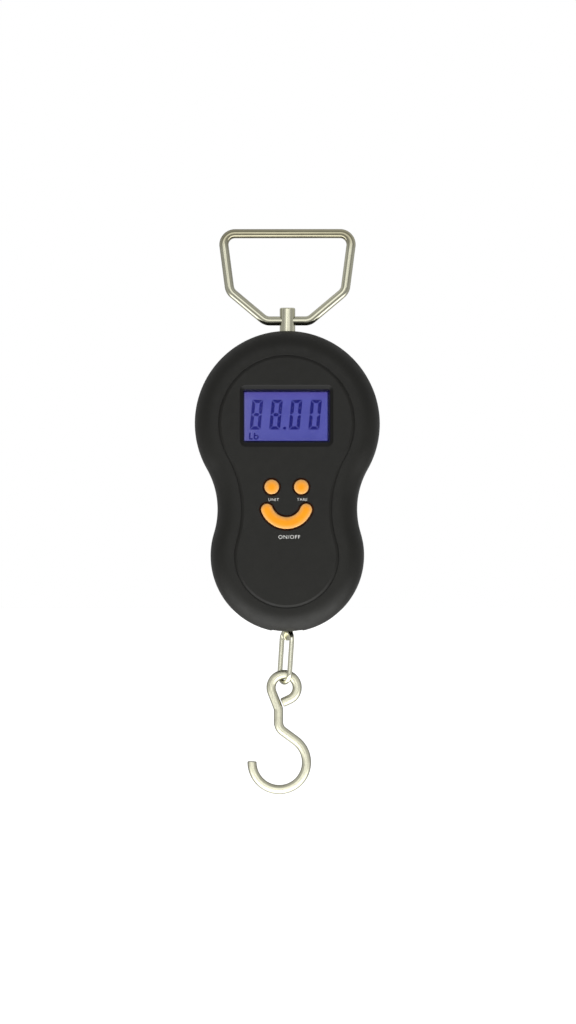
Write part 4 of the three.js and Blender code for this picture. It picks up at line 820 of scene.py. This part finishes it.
SCREW_ORDER = (0, 2, 1, 3)  # upper left, lower left, upper right, lower right
for index, (x, z) in enumerate([screw_places()[i] for i in SCREW_ORDER]):
    top = BACK_Y - SCREW_SINK + 0.2 + 1.6
    head = lathe("case_screw", [(0, -7), (1.1, -7), (1.4, -6.3), (1.4, top - 1.6), (2.5, top - 1.6),
                                (2.5, top - 0.75), (2.35, top - 0.4), (1.9, top - 0.15), (1.2, top - 0.03),
                                (0, top)],
                 (x, 0, z), "Y", 48)
    piece(f"screw_head_{index + 1}", boolean(head, cross_cutters(x, z, top), "DIFFERENCE"), "case",
          "plain_steel", [f"case_screw_{index + 1}"])


# Keys

KEY_DOME = [(0.0, 0.0), (0.25, 0.01), (0.45, 0.05), (0.6, 0.1), (0.75, 0.18), (0.86, 0.27), (0.94, 0.38),
            (0.985, 0.52), (1.0, 0.7)]


def round_key(x):
    dome = [(KEY_R * share, KEY_FRONT + drop) for share, drop in KEY_DOME]
    return lathe("round_key", dome + [
        (KEY_R, FLANGE_FRONT), (KEY_R + KEY_FLANGE, FLANGE_FRONT), (KEY_R + KEY_FLANGE, FLANGE_REAR),
        (0, FLANGE_REAR)], (x, 0, KEY_Z), "Y", 72)


def curved_key():
    skin = Skin()
    dome = [(arc_key(ARC_HALF_WIDTH * (share - 1)), KEY_FRONT + drop) for share, drop in KEY_DOME[1:]]
    front, rear = skin.stack(dome + [
        (arc_key(0), FLANGE_FRONT),
        (arc_key(KEY_FLANGE), FLANGE_FRONT), (arc_key(KEY_FLANGE), FLANGE_REAR)])
    skin.fill(front)
    skin.fill(rear)
    return skin.mesh("curved_key")


piece("unit_key_cap", round_key(-KEY_X), "unit_key", "key_plastic", ["unit_button"])
piece("tare_key_cap", round_key(KEY_X), "tare_key", "key_plastic", ["tare_button"])
piece("power_key_cap", curved_key(), "power_key", "key_plastic", ["power_button"])


# Printed labels

def label(name, text, x, z, width, height):
    curve = bpy.data.curves.new(name, "FONT")
    curve.body = text
    curve.extrude = 0.01
    curve.offset = -0.01
    curve.space_character = 1.12
    made = shape_object(curve)
    graph = bpy.context.evaluated_depsgraph_get()
    mesh = bpy.data.meshes.new_from_object(made.evaluated_get(graph))
    bpy.data.objects.remove(made)
    xs = [v.co.x for v in mesh.vertices]
    ys = [v.co.y for v in mesh.vertices]
    sx, sy = width / (max(xs) - min(xs)), height / (max(ys) - min(ys))
    for v in mesh.vertices:
        px = x + (v.co.x - (max(xs) + min(xs)) / 2) * sx
        pz = z + (v.co.y - (max(ys) + min(ys)) / 2) * sy
        v.co = Vector((px, PANEL_Y - 0.004 - v.co.z * 0.5, pz)) * MM
    piece(name, mesh, "case", "case_plastic", material=LABEL)


label("label_unit", "UNIT", -4.85, -101.3, 3.9, 1.0)
label("label_tare", "TARE", 5.9, -101.25, 3.8, 1.0)
label("label_power", "ON/OFF", 1.05, -115.45, 8.2, 1.35)


# Display

def segment_shapes(x, z, width, height, lit):
    """Outlines of the lit segments of one upright digit whose lower left corner is at x, z."""
    t, gap = 1.25, 0.19
    half = height / 2
    a = [(gap, height), (width - gap, height), (width - t - gap, height - t), (t + gap, height - t)]
    d = [(gap, 0), (t + gap, t), (width - t - gap, t), (width - gap, 0)]
    f = [(0, height - gap), (t, height - t - gap), (t, half + t / 2 + gap), (t / 2, half + gap),
         (0, half + gap)]
    e = [(0, gap), (0, half - gap), (t / 2, half - gap), (t, half - t / 2 - gap), (t, t + gap)]
    b = [(width - px, pz) for px, pz in f]
    c = [(width - px, pz) for px, pz in e]
    g = [(t / 2 + gap * 2, half), (t + gap, half + t / 2), (width - t - gap, half + t / 2),
         (width - t / 2 - gap * 2, half), (width - t - gap, half - t / 2), (t + gap, half - t / 2)]
    named = {"a": a, "b": b, "c": c, "d": d, "e": e, "f": f, "g": g}
    lean = math.tan(math.radians(5.5))
    return [[(x + px + pz * lean, z + pz) for px, pz in named[s]] for s in lit]


def printed(name, shapes, y, material):
    skin = Skin()
    for shape in shapes:
        near, far = skin.stack([(shape, y - 0.03), (shape, y)])
        skin.fill(near)
        skin.fill(far)
    piece(name, skin.mesh(name), "case", "display_blue", material=material)


GLASS_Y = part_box("lcd_glass")[0].y / MM
DIGIT_Z, DIGIT_W, DIGIT_H = -74.75, 4.15, 11.3
DIGIT_X = [-14.1, -6.7, 0.72, 8.12]
DIGIT_LIT = ["abcdefg", "abcdefg", "abcdef", "abcdef"]
strokes = [segment_shapes(x, DIGIT_Z, DIGIT_W, DIGIT_H, lit) for x, lit in zip(DIGIT_X, DIGIT_LIT)]
printed("digit_first", strokes[0], GLASS_Y - 0.02, FAINT_DIGIT)
point = [(-1.4, DIGIT_Z), (-0.35, DIGIT_Z), (-0.25, DIGIT_Z + 1.05), (-1.3, DIGIT_Z + 1.05)]
printed("digits", [s for digit in strokes[1:] for s in digit] + [point], GLASS_Y - 0.02, DIGIT)


def strip(x0, z0, x1, z1, t=0.52):
    along = Vector((x1 - x0, z1 - z0)).normalized()
    n = Vector((-along.y, along.x)) * t / 2
    return [(x0 + n.x, z0 + n.y), (x0 - n.x, z0 - n.y), (x1 - n.x, z1 - n.y), (x1 + n.x, z1 + n.y)]


UNIT_X, UNIT_Z = -14.3, -78.45
# "Lb": the L's stem and foot, then the b's stem, the top and foot of its bowl, and the bowl's side
UNIT_STROKES = [(0.2, 0.3, 0.35, 2.5), (0.1, 0.15, 1.35, 0.15), (1.95, 0.1, 2.15, 2.5),
                (2.3, 1.45, 3.3, 1.45), (2.2, 0.15, 3.2, 0.15), (3.3, 0.3, 3.42, 1.35)]
unit_strokes = [strip(UNIT_X + x0, UNIT_Z + z0, UNIT_X + x1, UNIT_Z + z1) for x0, z0, x1, z1 in UNIT_STROKES]
printed("unit_mark", unit_strokes, GLASS_Y - 0.02, DIGIT)


# Handle, post, stud, link and hook

def bail():
    right = [(Vector((8.35, -33.25)), 4.5), (Vector((21.95, -21.85)), 4.5), (Vector((24.8, 0)), 4.2)]
    left = [(Vector((-p.x, p.y)), r) for p, r in reversed(right)]
    bends = right + left
    points = [Vector((0.3, PIVOT_Z))] + [p for p, _ in bends] + [Vector((-0.3, PIVOT_Z))]
    path = [(points[0], Vector((1, 0)))]
    for i, (p, r) in enumerate(bends):
        path += corner(points[i], p, points[i + 2], r)
    path.append((points[-1], Vector((1, 0))))
    return wire("bail", path, BAIL_WIRE)


def post():
    top = PIVOT_Z + 5
    mesh = lathe("post", [
        (0, -55.64), (2.2, -55.64), (2.5, -55.29), (2.5, -42.93), (4.5, -42.93), (4.5, -40.93),
        (POST_R, -40.93), (POST_R, top - 0.5), (POST_R - 0.08, top - 0.28), (POST_R - 0.3, top - 0.08),
        (POST_R - 0.5, top), (0, top)], sides=64)
    return boolean(mesh, [bar((-5, 0, PIVOT_Z), 5, 2.05, "X")], "DIFFERENCE")


def stud():
    tip = CASE_BOTTOM - STUD_DROP
    turns = [math.radians(a) for a in range(-90, 1, 9)]
    dome = [(STUD_R * math.cos(a), tip + STUD_R + STUD_R * math.sin(a)) for a in turns]
    mesh = lathe("stud", dome + [(STUD_R, -74.79), (STUD_R - 0.3, -74.43), (0, -74.43)], sides=48)
    cutters = [slab("cheek", rounded(side * 2.9, tip + 2.15, 2.1, 4.15, 0.5), -5, 5) for side in (-1, 1)]
    cutters.append(bar((-5, 0, LINK_TOP), 5, 1.35, "X", 32))
    mesh = boolean(mesh, cutters, "DIFFERENCE")
    mesh.transform(Matrix.Rotation(math.radians(LINK_YAW), 4, "Z"))
    return mesh


def link():
    bend = LINK_WIDTH / 2
    low = bend - LINK_LENGTH
    joint = math.degrees(0.15 / bend)
    path = (stations(0, -bend, bend, 90 + joint, 180, 6) + stations(0, low, bend, 180, 360, 6)
            + stations(0, -bend, bend, 0, 90 - joint, 6))
    place = (Matrix.Translation((0, 0, LINK_TOP * MM)) @ Matrix.Rotation(math.radians(LINK_TILT), 4, "Y")
             @ Matrix.Rotation(math.radians(LINK_YAW), 4, "Z"))
    return wire("link", path, LINK_WIRE, place, sides=24, edge=0.15)


def touch(centre, radius, point):
    offset = point - centre
    return math.degrees(math.atan2(offset.y, offset.x) - math.acos(radius / offset.length)) % 360


def hook():
    eye, neck, knee = Vector((0, 0)), Vector((-2.15, -8.1)), Vector((-2.15, -15.4))
    bowl = Vector((-1.85, -28.49))
    leave, enter = touch(eye, EYE_R, neck), touch(bowl, BOWL_R, knee)
    eye_arc = stations(0, 0, EYE_R, -65, leave, 5)
    bowl_arc = stations(bowl.x, bowl.y, BOWL_R, enter, -182, 3)
    top, along = eye_arc[-1]
    across = Vector((-along.y, along.x))
    tail_top, tail_along = eye_arc[0]
    inner = tail_top + Vector((-tail_along.y, tail_along.x)) * HOOK_WIRE / 2
    room = (inner - top).dot(across) - HOOK_WIRE / 2 - 0.3
    tail = tail_top - tail_along * room / tail_along.dot(across)
    path = ([(tail, tail_along)] + eye_arc + corner(top, neck, knee, 4)
            + corner(neck, knee, bowl_arc[0][0], 4.5) + bowl_arc)
    tilt = math.radians(LINK_TILT)
    drop = LINK_LENGTH - LINK_WIRE / 2 - 0.3 - HOOK_WIRE / 2 + EYE_R
    x, z = -LINK_LENGTH * math.sin(tilt), LINK_TOP - drop * math.cos(tilt)
    place = Matrix.Translation((x * MM, 0, z * MM))
    return wire("hook", path, HOOK_WIRE, place, edge=0.3)


piece("handle_wire", bail(), "handle", "polished_steel", ["handle_bail"])
piece("post", post(), "case", "polished_steel", ["handle_post"], TURNED_STEEL)
piece("stud", stud(), "stud", "polished_steel", ["hook_stud"], TURNED_STEEL)
piece("link_wire", link(), "link", "polished_steel", ["hook_link"], LINK_STEEL)
piece("hook_wire", hook(), "hook", "polished_steel", ["hook"], HOOK_STEEL)


# Batteries

for name, side in (("left", -1), ("right", 1)):
    low = TRAY_BOTTOM + 0.8 + (0 if side > 0 else 3.0)
    high = low + BATTERY_LENGTH
    profile = [(0, low + 0.2), (4.2, low + 0.2), (4.4, low), (4.9, low), (5.15, low + 0.15),
               (BATTERY_R, low + 0.4), (BATTERY_R, high - 1.3), (5.1, high - 1.0), (4.8, high - 0.85),
               (1.95, high - 0.8), (1.9, high - 0.15), (1.75, high), (0, high)]
    if side > 0:
        profile = [(r, low + high - t) for r, t in profile]
    piece(f"cell_{name}", lathe("cell", profile, (side * BATTERY_X, BATTERY_Y, 0)), "case", "battery_can",
          [f"battery_{name}"])


# Studio

def studio():
    """A pale floor and a soft sky. The camera sees both plain; reflections see a lit patch and a dim rest."""
    corners = [(x * FLOOR_HALF, y * FLOOR_HALF, FLOOR_Z) for x, y in ((-1, -1), (1, -1), (1, 1), (-1, 1))]
    floor_mesh = bpy.data.meshes.new("floor")
    floor_mesh.from_pydata(corners, [], [(0, 1, 2, 3)])
    floor = shape_object(floor_mesh, "floor")
    paint = Paint("studio_floor", (0.7, 0.7, 0.7), 0.9, specular=0.1)

    def patch(x, y, half_x, half_y, edge):
        flat = paint.stretched(paint.spot, (1 / half_x, 1 / half_y, 0), (-x / half_x, -y / half_y, 0))
        node = paint.nodes.new("ShaderNodeTexGradient")
        node.gradient_type = "SPHERICAL"
        paint.links.new(flat, node.inputs["Vector"])
        return paint.ramp(node.outputs["Fac"], [(0.0, 0.0), (edge, 1.0)])

    glow = paint.mix(patch(0, -0.15, 0.6, 0.3, 0.5), (0.02, 0.02, 0.02), (1.32, 1.32, 1.32))
    to_eye = paint.nodes.new("ShaderNodeLightPath").outputs["Is Camera Ray"]
    glow = paint.mix(to_eye, glow, (0.4, 0.4, 0.4))
    paint.feed("Emission Color", glow)
    paint.set("Emission Strength", 1.9)
    floor_mesh.materials.append(paint.material)

    world = bpy.data.worlds.new("studio")
    bpy.context.scene.world = world
    world.use_nodes = True
    nodes, links = world.node_tree.nodes, world.node_tree.links
    nodes.clear()
    out = nodes.new("ShaderNodeOutputWorld")
    mix = nodes.new("ShaderNodeMixShader")
    seen, light = nodes.new("ShaderNodeBackground"), nodes.new("ShaderNodeBackground")
    seen.inputs["Color"].default_value = (1, 1, 1, 1)
    seen.inputs["Strength"].default_value = 1.0
    spot = nodes.new("ShaderNodeTexCoord")
    split = nodes.new("ShaderNodeSeparateXYZ")
    links.new(spot.outputs["Generated"], split.inputs[0])

    def ramp(value, stops):
        node = nodes.new("ShaderNodeValToRGB")
        while len(node.color_ramp.elements) < len(stops):
            node.color_ramp.elements.new(0.5)
        for element, (at, grey) in zip(node.color_ramp.elements, stops):
            element.position = at
            element.color = (grey, grey, grey, 1)
        links.new(value, node.inputs["Fac"])
        return node.outputs["Color"]

    def share(value):
        node = nodes.new("ShaderNodeMapRange")
        node.inputs["From Min"].default_value = -1
        links.new(value, node.inputs["Value"])
        return node.outputs["Result"]

    def blend(how, a, b):
        node = nodes.new("ShaderNodeMix")
        node.data_type, node.blend_type = "RGBA", how
        node.inputs[0].default_value = 1.0
        for socket, value in zip([s for s in node.inputs if s.enabled and s.name in ("A", "B")], (a, b)):
            links.new(value, socket)
        return [s for s in node.outputs if s.enabled][0]

    # The dark shape of whoever holds the camera, low in front.
    dark = nodes.new("ShaderNodeMapping")
    dark.inputs["Scale"].default_value = (1 / 0.19, 0, 1 / 0.27)
    dark.inputs["Location"].default_value = (0, 0, 0.2 / 0.27)
    links.new(spot.outputs["Generated"], dark.inputs["Vector"])
    ball = nodes.new("ShaderNodeTexGradient")
    ball.gradient_type = "SPHERICAL"
    links.new(dark.outputs["Vector"], ball.inputs["Vector"])
    depth = ramp(share(split.outputs["Y"]), [(0.0, 1.3), (0.05, 1.25), (0.1, 0.37), (0.3, 0.36),
                                             (0.5, 0.46), (0.75, 0.48), (0.9, 0.3), (1.0, 0.25)])
    height = ramp(share(split.outputs["Z"]), [(0.0, 0.8), (0.5, 0.8), (0.7, 0.95), (1.0, 1.0)])
    camera_side = ramp(split.outputs["Y"], [(0.0, 0.0), (0.001, 1.0)])
    figure = ramp(ball.outputs["Fac"], [(0.0, 1.0), (0.4, 0.2)])
    figure = blend("LIGHTEN", figure, camera_side)
    links.new(blend("MULTIPLY", blend("MULTIPLY", depth, height), figure), light.inputs["Color"])
    light.inputs["Strength"].default_value = 1.55
    path = nodes.new("ShaderNodeLightPath")
    links.new(path.outputs["Is Camera Ray"], mix.inputs["Fac"])
    links.new(light.outputs[0], mix.inputs[1])
    links.new(seen.outputs[0], mix.inputs[2])
    links.new(mix.outputs[0], out.inputs["Surface"])


def camera():
    yaw = math.radians(CAMERA_YAW)
    data = bpy.data.cameras.new("camera")
    data.sensor_width = 36
    data.lens = data.sensor_width * CAMERA_DISTANCE / VIEW_HEIGHT
    made = bpy.data.objects.new("camera", data)
    made.location = (CAMERA_X + CAMERA_DISTANCE * math.sin(yaw), -CAMERA_DISTANCE * math.cos(yaw), CAMERA_Z)
    made.rotation_euler = (math.radians(90), 0, yaw)
    bpy.context.scene.collection.objects.link(made)
    bpy.context.scene.camera = made


studio()
camera()
bpy.context.scene.view_settings.view_transform = "Standard"
